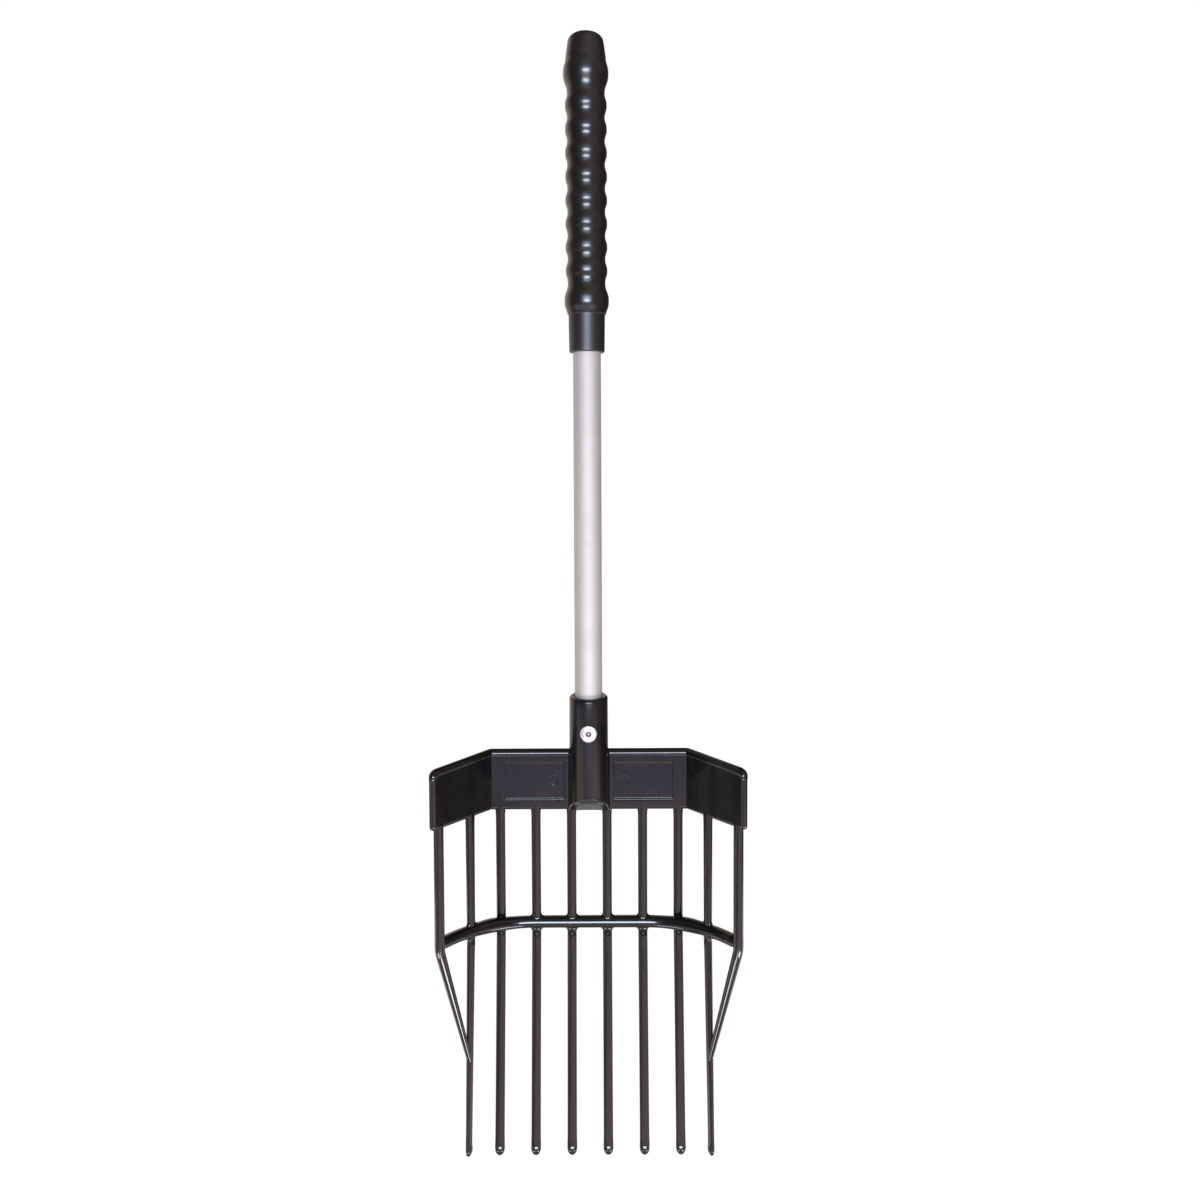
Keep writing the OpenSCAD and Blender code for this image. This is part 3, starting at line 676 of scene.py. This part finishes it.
def crossing_fillet(depth, from_bar):
    """How far a tine's sides spread at the bar: a fillet arc that touches the bar's round top or bottom,
    worked out for every depth in the section by itself. It fades out at the bar's front and back."""
    bar_half = np.sqrt(np.maximum(BAR_R ** 2 - depth ** 2, 0))
    near = np.clip(bar_half + CROSSING_FILLET - from_bar, 0, CROSSING_FILLET)
    arc = CROSSING_FILLET - np.sqrt(np.maximum(CROSSING_FILLET ** 2 - near ** 2, 0))
    return arc * np.clip((BAR_R + CROSSING_PAST - np.abs(depth)) / CROSSING_FADE, 0, 1)


def tine_rings(place, root, tip, turn, narrowing=0.0):
    """A rounded section of width u and thickness v, carried down the tine's leaning line. Its sides flare at
    the root and at the bar, where it is thicker too. Low bell-shaped swellings stand on the front just under
    the bar and over the tip, which closes as an ellipsoid."""
    z = tine_heights(root, tip)[:, None]
    a = np.linspace(0, 2 * np.pi, 40, endpoint=False)
    share = (root - z) / (root - tip)
    thick = TINE_ROOT_T - (TINE_ROOT_T - TINE_TIP_T) * share ** TINE_THIN_POWER
    close = np.sqrt(1 - np.clip((tip + TIP_ROUND - z) / TIP_ROUND, 0, 1) ** 2)
    wide = 1 - narrowing * share + TIP_WIDENING * bell(z - tip - TIP_WIDENING_AT, TIP_WIDENING_AT)
    flare = 1 + ROOT_FLARE * np.exp(-np.maximum(PANEL_LOW - z, 0) / ROOT_FLARE_FADE)
    u = TINE_W / 2 * close * wide * flare * signed_power(np.cos(a), TINE_POWER)
    v = thick / 2 * close ** TIP_ROUND_POWER * signed_power(np.sin(a), TINE_POWER)
    bar, _ = bar_line(np.array(place[0]))
    from_bar = np.abs(z - bar[2])
    depth = v * math.cos(turn) + place[1] - lean(z) - bar[1]
    u = u + crossing_fillet(depth, from_bar) * signed_power(np.cos(a), CROSSING_FILLET_POWER)
    past_bar = np.maximum(from_bar - CROSSING_THICK_REACH, 0)
    v = v * (1 + CROSSING_THICKER * np.exp(-past_bar / CROSSING_THICK_FADE))
    under_bar = UNDER_BAR_SWELLING * bell(z - bar[2] + UNDER_BAR_SWELLING_AT, UNDER_BAR_SWELLING_REACH)
    over_tip = TIP_SWELLING * bell(z - tip - TIP_SWELLING_AT, TIP_SWELLING_REACH) * close
    v = v - (under_bar + over_tip) * np.clip(-np.sin(a), 0, 1)
    x = place[0] + u * math.cos(turn) - v * math.sin(turn)
    y = place[1] - lean(z) + u * math.sin(turn) + v * math.cos(turn)
    return np.stack([x, y, z + 0 * a], -1)


def mirrored(rings):
    """The same rings on the other side of the tube's axis."""
    return rings * np.array([-1.0, 1.0, 1.0])


tine_places = [((k - 0.5) * TINE_PITCH, PANEL_Y) for k in (1, 2, 3)]
tines = [tine_rings(p, PANEL_LOW + RIM_R, PANEL_LOW - TINE, 0.0) for p in tine_places]
outer_place, outer_root = wing_place(OUTER_TINE_AT), wing_foot(OUTER_TINE_AT)
tines.append(tine_rings(outer_place, outer_root, PANEL_LOW - OUTER_TINE, -WING_TURN, OUTER_TINE_NARROWING))
for number, rings in enumerate(tines, 1):
    for side, shape in (("right", rings), ("left", mirrored(rings))):
        put_on(skin(f"head_tine_{side}_{number}", shape), plastic, "fork_head")


def bar_rings():
    """A full round section carried along the bar's middle line, square to it, with its flatter side turned
    up by BAR_FACE. It thickens at both knees, upwards most, and shrinks inside the side rails."""
    arc = BAR_STRAIGHT + (RAIL_X - BAR_STRAIGHT) * np.sin(np.linspace(0, np.pi / 2, 40))
    half = np.concatenate([np.linspace(0, BAR_STRAIGHT, 24, endpoint=False), arc])
    x = np.concatenate([-half[:0:-1], half])
    points, turn = bar_line(x)
    turn = turn * np.sign(x)
    a = np.linspace(0, 2 * np.pi, 40, endpoint=False)
    up = np.array([0.0, math.sin(TINE_LEAN), math.cos(TINE_LEAN)])
    back = np.array([0.0, math.cos(TINE_LEAN), -math.sin(TINE_LEAN)])
    square = np.sin(turn)[:, None] * np.array([1.0, 0, 0]) + np.cos(turn)[:, None] * back
    knee = KNEE_SHARE * bell(np.abs(x) - KNEE_X, KNEE_REACH)
    into_rail = np.clip((np.abs(x) - RAIL_X + BAR_END) / BAR_END, 0, 1)
    radius = BAR_R * (1 - BAR_END_THINNER * into_rail + knee)
    across, along = signed_power(np.cos(a), BAR_POWER), signed_power(np.sin(a), BAR_POWER)
    depth = across * math.cos(BAR_FACE) + along * math.sin(BAR_FACE)
    rise = along * math.cos(BAR_FACE) - across * math.sin(BAR_FACE)
    ring = depth[None, :, None] * square[:, None, :] + rise[None, :, None] * up
    lift = (BAR_R * KNEE_LIFT_SHARE * knee)[:, None, None] * up
    return points[:, None, :] + lift + radius[:, None, None] * ring


put_on(skin("head_crossbar", bar_rings()), plastic, "fork_head")

# The side rails
# A round rail drops from each wing, takes the end of the crossbar, bends inwards and runs out on the outer
# tine. Both are part of the same moulding and close the basket at its sides.
RAIL_R, RAIL_END_R = 4.4, 2.5
RAIL_BEND_DROP, RAIL_BEND = 0.5, 4.0
RAIL_MEET = 216.0
RAIL_RUN_OUT = 3.0
KNUCKLE, KNUCKLE_REACH = 0.15, 5.5


def rail_rings():
    """A circle carried down a bent line: straight, a parabola over the bend, straight. Its radius shrinks
    along the slanted stretch, and swells a little round the end of the crossbar."""
    meet_z = PANEL_LOW - RAIL_MEET
    outer = wing_place(OUTER_TINE_AT)
    start = np.array([RAIL_X, RAIL_Y, wing_foot(RAIL_AT)])
    bend = np.array([RAIL_X, RAIL_Y, BAR_Z - RAIL_BEND_DROP])
    meet = np.array([outer[0], outer[1] - lean(np.array(meet_z)), meet_z])
    down = (meet - bend) / np.linalg.norm(meet - bend)
    first, last = bend + np.array([0, 0, RAIL_BEND]), bend + down * RAIL_BEND
    t = np.linspace(0, 1, 40, endpoint=False)[:, None]
    b = np.linspace(0, 1, 14, endpoint=False)[:, None]
    slant = np.linspace(0, 1, 30)[:, None]
    line = np.concatenate([
        start + (first - start) * t,
        first * (1 - b) ** 2 + 2 * bend * b * (1 - b) + last * b ** 2,
        last + (meet + down * RAIL_RUN_OUT - last) * slant,
    ])
    ahead = np.gradient(line, axis=0)
    ahead /= np.linalg.norm(ahead, axis=1)[:, None]
    side = np.cross(ahead, [0.0, 1.0, 0.0])
    side /= np.linalg.norm(side, axis=1)[:, None]
    face = np.cross(ahead, side)
    gone = np.concatenate([np.zeros(len(t) + len(b)), slant[:, 0]])
    bar_end, _ = bar_line(np.array(RAIL_X))
    knuckle = KNUCKLE * bell(line[:, 2] - bar_end[2], KNUCKLE_REACH)
    radius = RAIL_R + (RAIL_END_R - RAIL_R) * gone + knuckle
    a = np.linspace(0, 2 * np.pi, 36, endpoint=False)[None, :, None]
    return line[:, None] + radius[:, None, None] * (np.cos(a) * side[:, None] + np.sin(a) * face[:, None])


for side, shape in (("right", rail_rings()), ("left", mirrored(rail_rings()))):
    put_on(skin(f"head_rail_{side}", shape), plastic, "fork_head")

# The rivet
# An aluminium blind rivet goes through the socket's front and the tube's wall. Its wide flange is pressed to
# the socket, its set end grips the tube from inside, and the mandrel has snapped off in its hole.
RIVET_Z = -30.2
RIVET_R = 2.4
RIVET_SEAT_R = 17.94
RIVET_HOLE_R, HOLE_CHAMFER = 1.45, 0.15
FLANGE_R, FLANGE_T, LIP_R, LIP_START = 7.7, 0.9, 0.52, 60
CROWN, CROWN_INSET, CROWN_FALL, CROWN_POWER, CROWN_FOLLOW = 0.4, 0.7, 0.25, 1.7, 0.4
DISH_R, MOUTH_R, MOUTH_FLOOR = 2.7, 2.1, -1.0
MOUTH_CHAMFER, MOUTH_EDGE_DROP, MOUTH_FOLLOW = 0.1, 0.3, 0.5
CHAMFER_DEPTH = 0.2
SHANK_FILLET, SHANK_FILLET_DEPTH = 0.4, 0.3
SET_R, SET_INSIDE, SET = 3.7, 11.1, 5.0
RIVET_DARK, RIVET_LIGHT = (0.42, 0.395, 0.40, 1), (0.52, 0.49, 0.495, 1)
RIVET_ROUGHNESS, RIVET_RING_DULLING = (0.46, 0.56), 0.04


def rivet_rings():
    """Rings about the rivet's axis, along -Y. A profile point has a radius, a height on the seat, and a
    share by which it follows the round of the socket: the seat falls back by R - sqrt(R^2 - x^2) at a
    distance x. The flange's underside follows it fully, and the crown stays flatter."""
    dome = np.linspace(0, 1, 14)
    crown_r = DISH_R + (FLANGE_R - CROWN_INSET - DISH_R) * dome
    crown_h = FLANGE_T + CROWN - (CROWN + CROWN_FALL) * dome ** CROWN_POWER
    lip = arc_of(FLANGE_R - LIP_R, LIP_R, LIP_R, LIP_START, -90, steps=8)
    inner = SET_INSIDE - RIVET_SEAT_R
    profile = np.concatenate([
        [[RIVET_HOLE_R, inner - SET, 0], [RIVET_HOLE_R, MOUTH_FLOOR - CHAMFER_DEPTH, 0]],
        [[RIVET_HOLE_R + HOLE_CHAMFER, MOUTH_FLOOR, 0], [MOUTH_R - MOUTH_CHAMFER, MOUTH_FLOOR, 0]],
        [[MOUTH_R, MOUTH_FLOOR + CHAMFER_DEPTH, 0], [MOUTH_R, FLANGE_T - MOUTH_EDGE_DROP, MOUTH_FOLLOW]],
        np.stack([crown_r, crown_h, np.full(len(dome), CROWN_FOLLOW)], -1),
        np.column_stack([lip, np.linspace(CROWN_FOLLOW, 1.0, len(lip))]),
        [[RIVET_R + SHANK_FILLET, 0, 1], [RIVET_R, -SHANK_FILLET_DEPTH, 0]],
        [[RIVET_R, inner, 0], [SET_R, inner - SET / 2, 0], [RIVET_R, inner - SET, 0]],
    ])
    a = np.linspace(0, 2 * np.pi, 72, endpoint=False)
    r, h, follow = (profile[:, k:k + 1] for k in range(3))
    x = r * np.cos(a)
    seat = RIVET_SEAT_R - follow * (RIVET_SEAT_R - np.sqrt(RIVET_SEAT_R ** 2 - x ** 2))
    return np.stack([x, -(seat + h), RIVET_Z + r * np.sin(a)], -1)


def bright_aluminium():
    """Bare rivet aluminium: pale grey, with fine turned rings about its axis and the odd nick."""
    made, tree, shader = finish_of("bright_aluminium", Metallic=1.0)
    place = add(tree, "ShaderNodeTexCoord").outputs["Object"]
    to_axis = (0, 0, -RIVET_Z * MM)
    centred = add(tree, "ShaderNodeMapping", {"Vector": place, "Location": to_axis}).outputs[0]
    turned_lines = add(tree, "ShaderNodeTexWave", {
        "Vector": centred, "Scale": 900.0, "Distortion": 1.5, "Detail": 2.0
    }, wave_type="RINGS", rings_direction="Y").outputs["Fac"]
    cloud = noise(tree, place, scale=420.0, detail=3.0)
    marks = add(tree, "ShaderNodeGroup", {"Size": 900.0, "Stretch": 0.3}, node_tree=hand_marks).outputs
    colour = blend_colours(tree, spread(tree, cloud), RIVET_DARK, RIVET_LIGHT)
    ringed = span(tree, turned_lines, 0.0, RIVET_RING_DULLING)
    roughness = math_of(tree, "ADD", spread(tree, cloud, *RIVET_ROUGHNESS), ringed)
    height = math_of(tree, "SUBTRACT", turned_lines, marks["Scratches"])
    wire(tree, shader, colour, roughness, height, strength=0.10, distance=0.0001)
    return made


rivet = skin("rivet_body_set", rivet_rings(), looped=True)
put_on(rivet, bright_aluminium(), "rivet_body")

# The rivet's mandrel
# The steel pin that set the rivet. Its head fills the set end inside the tube, and its stem has snapped off
# below the crown, which leaves a torn grey end in the hole.
MANDREL_R = 1.35
MANDREL_HEAD_R, MANDREL_HEAD, MANDREL_NOSE_SHARE = 2.2, 2.4, 0.6
MANDREL_SEAT = SET_INSIDE - SET
SNAP_DROP = 0.7
MANDREL_SNAP = RIVET_SEAT_R + FLANGE_T + CROWN - SNAP_DROP
TORN_END = ((0.0, 0.25), (0.15, 0.05), (0.4, 0.0), (0.81, 0.25), (MANDREL_R - POLE_R, 0.3))
STEEL_DARK, STEEL_LIGHT = (0.20, 0.195, 0.19, 1), (0.44, 0.43, 0.42, 1)
STEEL_ROUGHNESS = (0.35, 0.6)


def mandrel_rings():
    """Rings about the rivet's axis, from the pin's head in the tube out to its torn end, which is cupped a
    little. A point of the torn end is a step in from the pin's side and a drop from its highest edge."""
    nose = MANDREL_SEAT - MANDREL_HEAD
    profile = np.array([
        [POLE_R, nose], [MANDREL_HEAD_R * MANDREL_NOSE_SHARE, nose],
        [MANDREL_HEAD_R, MANDREL_SEAT - MANDREL_HEAD / 2], [MANDREL_HEAD_R, MANDREL_SEAT],
        [MANDREL_R, MANDREL_SEAT],
        *[[MANDREL_R - step_in, MANDREL_SNAP - drop] for step_in, drop in TORN_END],
    ])
    a = np.linspace(0, 2 * np.pi, 48, endpoint=False)
    r, y = profile[:, :1], profile[:, 1:]
    return np.stack([r * np.cos(a), -y + 0 * a, RIVET_Z + r * np.sin(a)], -1)


def torn_steel():
    """Dull grey steel with a coarse torn grain."""
    made, tree, shader = finish_of("torn_steel", Metallic=1.0)
    place = add(tree, "ShaderNodeTexCoord").outputs["Object"]
    grain = noise(tree, place, scale=2200.0, detail=4.0, roughness=0.7)
    colour = blend_colours(tree, spread(tree, grain), STEEL_DARK, STEEL_LIGHT)
    wire(tree, shader, colour, spread(tree, grain, *STEEL_ROUGHNESS), grain, strength=0.5, distance=0.0002)
    return made


put_on(skin("rivet_mandrel_pin", mandrel_rings()), torn_steel(), "rivet_mandrel")

# The studio
# A plain pale floor below the hanging fork and a white room round it. In gloss the front of the room is dim,
# so that the black parts stay black, and its left rear is bright. Windows, lamps and lit ground stand before
# it as soft boxes. Sizes from here on are in metres.
FLOOR_Z = -0.66
FLOOR_X, FLOOR_FRONT, FLOOR_BACK = 1.1, -0.25, 4.0
FLOOR_DARK, FLOOR_LIGHT = (0.86, 0.78, 0.69, 1), (0.89, 0.81, 0.72, 1)
FLOOR_WHITE, FLOOR_TO_CAMERA, FLOOR_IN_GLOSS = 1.16, 0.85, 0.35
WHITE = (1, 1, 1, 1)
ROOM_LIGHT = (0.35, 0.35, 0.35, 1)
ROOM_DARK, ROOM_WARM = (0.09, 0.08, 0.08, 1), (0.74, 0.63, 0.52, 1)
ROOM_REAR, ROOM_FILL = (1.20, 1.03, 0.92, 1), (0.34, 0.26, 0.28, 1)
REAR_SIDE, REAR_RANGE = (-0.6, 0.8, 0.0), (0.5, 0.9)
FILL_SIDE, FILL_RANGE = (0.8, -0.6, 0.0), (0.65, 1.0)
CEILING_HEIGHT, CEILING_FRONT, CEILING_WIDTH, CEILING_LEFT = (0.05, 0.5), (0.2, -0.6), (-0.45, 0.45), 0.18
GRIP_MIDDLE = (0, 0, 0.45)
BASKET_LEFT, BASKET_RIGHT = (-0.12, -0.035, -0.27), (0.12, -0.035, -0.27)
GROUND_Y, GROUND_Z, CARD_Z = -0.88, -0.68, -0.655
SKY_BLUE, SKY_VIOLET, DAYLIGHT = (0.56, 0.77, 1.0), (0.60, 0.60, 1.0), (0.92, 0.95, 1.0)
LAMP_RIGHT, LAMP_LEFT, LAMP_BLUE = (0.94, 0.90, 1.0), (0.94, 0.94, 1.0), (0.32, 0.28, 1.0)
EARTH, EARTH_LEFT, EARTH_CARD = (1.0, 0.80, 0.74), (1.0, 0.84, 0.78), (1.0, 0.84, 0.76)
FAR_VIOLET = (0.72, 0.69, 1.0)


def seen_rays(tree):
    """Two values: 1 for rays from the camera, and 1 for rays from gloss or through glass."""
    path = add(tree, "ShaderNodeLightPath").outputs
    mirror = math_of(tree, "MAXIMUM", path["Is Glossy Ray"], path["Is Transmission Ray"])
    return path["Is Camera Ray"], mirror


def pale_floor():
    """A pale matt floor, mostly white to the camera and partly white in gloss, that keeps some shadow."""
    made = bpy.data.materials.new("pale_floor")
    made.use_nodes = True
    tree = made.node_tree
    tree.nodes.clear()
    camera, mirror = seen_rays(tree)
    place = add(tree, "ShaderNodeTexCoord").outputs["Object"]
    tone = blend_colours(tree, noise(tree, place, scale=5.0), FLOOR_DARK, FLOOR_LIGHT)
    matt = add(tree, "ShaderNodeBsdfDiffuse", {"Color": tone}).outputs[0]
    white = add(tree, "ShaderNodeEmission", {"Color": WHITE, "Strength": FLOOR_WHITE}).outputs[0]
    to_camera = math_of(tree, "MULTIPLY", camera, FLOOR_TO_CAMERA)
    in_gloss = math_of(tree, "MULTIPLY", mirror, FLOOR_IN_GLOSS)
    share = math_of(tree, "MAXIMUM", to_camera, in_gloss)
    mixed = add(tree, "ShaderNodeMixShader", {0: share, 1: matt, 2: white}).outputs[0]
    add(tree, "ShaderNodeOutputMaterial", {"Surface": mixed})
    return made


corners = [(-FLOOR_X, FLOOR_FRONT), (FLOOR_X, FLOOR_FRONT), (FLOOR_X, FLOOR_BACK), (-FLOOR_X, FLOOR_BACK)]
floor_mesh = bpy.data.meshes.new("floor")
floor_mesh.from_pydata([(x, y, FLOOR_Z) for x, y in corners], [], [(0, 1, 2, 3)])
floor = bpy.data.objects.new("floor", floor_mesh)
bpy.context.scene.collection.objects.link(floor)
floor_mesh.materials.append(pale_floor())


def white_room():
    """A world that is white to the camera and a plain grey light on matt surfaces. In gloss it is dark in
    front, with a warm ceiling that is brightest to the right, a dim right front and a bright left rear."""
    made = bpy.data.worlds.new("room")
    made.use_nodes = True
    tree = made.node_tree
    tree.nodes.clear()
    camera, mirror = seen_rays(tree)
    direction = add(tree, "ShaderNodeTexCoord").outputs["Generated"]
    behind, beside = (
        add(tree, "ShaderNodeVectorMath", {0: direction, 1: side}, operation="DOT_PRODUCT").outputs["Value"]
        for side in (REAR_SIDE, FILL_SIDE)
    )
    split = add(tree, "ShaderNodeSeparateXYZ", {0: direction}).outputs
    high = span(tree, split["Z"], 0.0, 1.0, *CEILING_HEIGHT)
    in_front = span(tree, split["Y"], 0.0, 1.0, *CEILING_FRONT)
    to_right = span(tree, split["X"], CEILING_LEFT, 1.0, *CEILING_WIDTH)
    ceiling = math_of(tree, "MULTIPLY", math_of(tree, "MULTIPLY", high, in_front), to_right)
    front = blend_colours(tree, ceiling, ROOM_DARK, ROOM_WARM)
    filled = blend_colours(tree, span(tree, beside, 0.0, 1.0, *FILL_RANGE), front, ROOM_FILL)
    in_gloss = blend_colours(tree, span(tree, behind, 0.0, 1.0, *REAR_RANGE), filled, ROOM_REAR)
    lit = blend_colours(tree, mirror, ROOM_LIGHT, in_gloss)
    shown = blend_colours(tree, camera, lit, WHITE)
    background = add(tree, "ShaderNodeBackground", {"Color": shown, "Strength": 1.0})
    add(tree, "ShaderNodeOutputWorld", {"Surface": background.outputs[0]})
    return made


bpy.context.scene.world = white_room()


def soft_light(name, place, aim, width, height, watts, colour):
    """A rectangular soft box that stands at a place and faces a point."""
    data = bpy.data.lights.new(name, "AREA")
    data.shape = "RECTANGLE"
    data.size, data.size_y = width, height
    data.energy, data.color = watts, colour
    box = bpy.data.objects.new(name, data)
    bpy.context.scene.collection.objects.link(box)
    way = np.array(aim, float) - np.array(place, float)
    flat = math.hypot(way[0], way[1])
    box.location = place
    box.rotation_euler = (math.atan2(flat, -way[2]), 0.0, math.atan2(-way[0], way[1]) if flat else 0.0)
    box.visible_camera = False


def ground_light(name, place, width, depth, watts, colour):
    """A soft box that lies flat at a place and faces up, as lit ground does."""
    soft_light(name, place, (place[0], place[1], 1.0), width, depth, watts, colour)


soft_light("window_sky", (0.4, -10.0, 1.15), GRIP_MIDDLE, 5.2, 1.4, 480.0, SKY_BLUE)
soft_light("sky_glow", (0.4, -10.3, 0.85), GRIP_MIDDLE, 9.0, 4.4, 230.0, SKY_VIOLET)
soft_light("window_ground", (0.4, -10.0, -0.25), GRIP_MIDDLE, 5.2, 1.4, 620.0, DAYLIGHT)
soft_light("low_lamp_right", (1.44, -2.7, -2.82), BASKET_LEFT, 1.8, 0.5, 82.0, LAMP_RIGHT)
soft_light("low_lamp_left", (-1.44, -2.7, -2.82), BASKET_RIGHT, 1.8, 0.5, 48.0, LAMP_LEFT)
soft_light("low_glow_right", (1.48, -2.78, -2.9), BASKET_LEFT, 2.6, 1.5, 9.0, LAMP_BLUE)
soft_light("low_glow_left", (-1.48, -2.78, -2.9), BASKET_RIGHT, 2.6, 1.5, 9.0, LAMP_BLUE)
ground_light("near_ground", (0.6, GROUND_Y, GROUND_Z), 1.6, 0.96, 7.2, EARTH)
ground_light("near_ground_left", (-0.475, GROUND_Y, GROUND_Z), 0.55, 0.96, 0.95, EARTH)
ground_light("left_ground", (-1.525, GROUND_Y, GROUND_Z), 1.55, 0.96, 6.5, EARTH_LEFT)
ground_light("floor_card_left", (-0.66, 0.1, CARD_Z), 0.8, 0.6, 2.5, EARTH_CARD)
ground_light("floor_card_right", (0.66, 0.1, CARD_Z), 0.8, 0.6, 2.1, EARTH_CARD)
ground_light("far_ground", (0, -1.62, GROUND_Z), 3.0, 0.50, 5.2, FAR_VIOLET)

# The camera
# It stands before the bare tube and looks down a little. The lens is wide, and the frame is shifted down so
# that the whole fork fits.
EYE = (0.0114, -0.7777, 0.2261)
LENS, SENSOR = 25.5, 36.0
SHIFT_DOWN, CLIP_START = 0.10, 0.05
DOWN = math.radians(2.0)
ROLL = math.radians(-0.245)
camera_data = bpy.data.cameras.new("camera")
camera_data.lens, camera_data.sensor_width = LENS, SENSOR
camera_data.shift_y = -SHIFT_DOWN
camera_data.clip_start = CLIP_START
camera = bpy.data.objects.new("camera", camera_data)
bpy.context.scene.collection.objects.link(camera)
aim = Matrix.Rotation(math.pi / 2 - DOWN, 4, "X") @ Matrix.Rotation(ROLL, 4, "Z")
camera.matrix_world = Matrix.Translation(EYE) @ aim
bpy.context.scene.camera = camera
bpy.context.scene.view_settings.view_transform = "Standard"
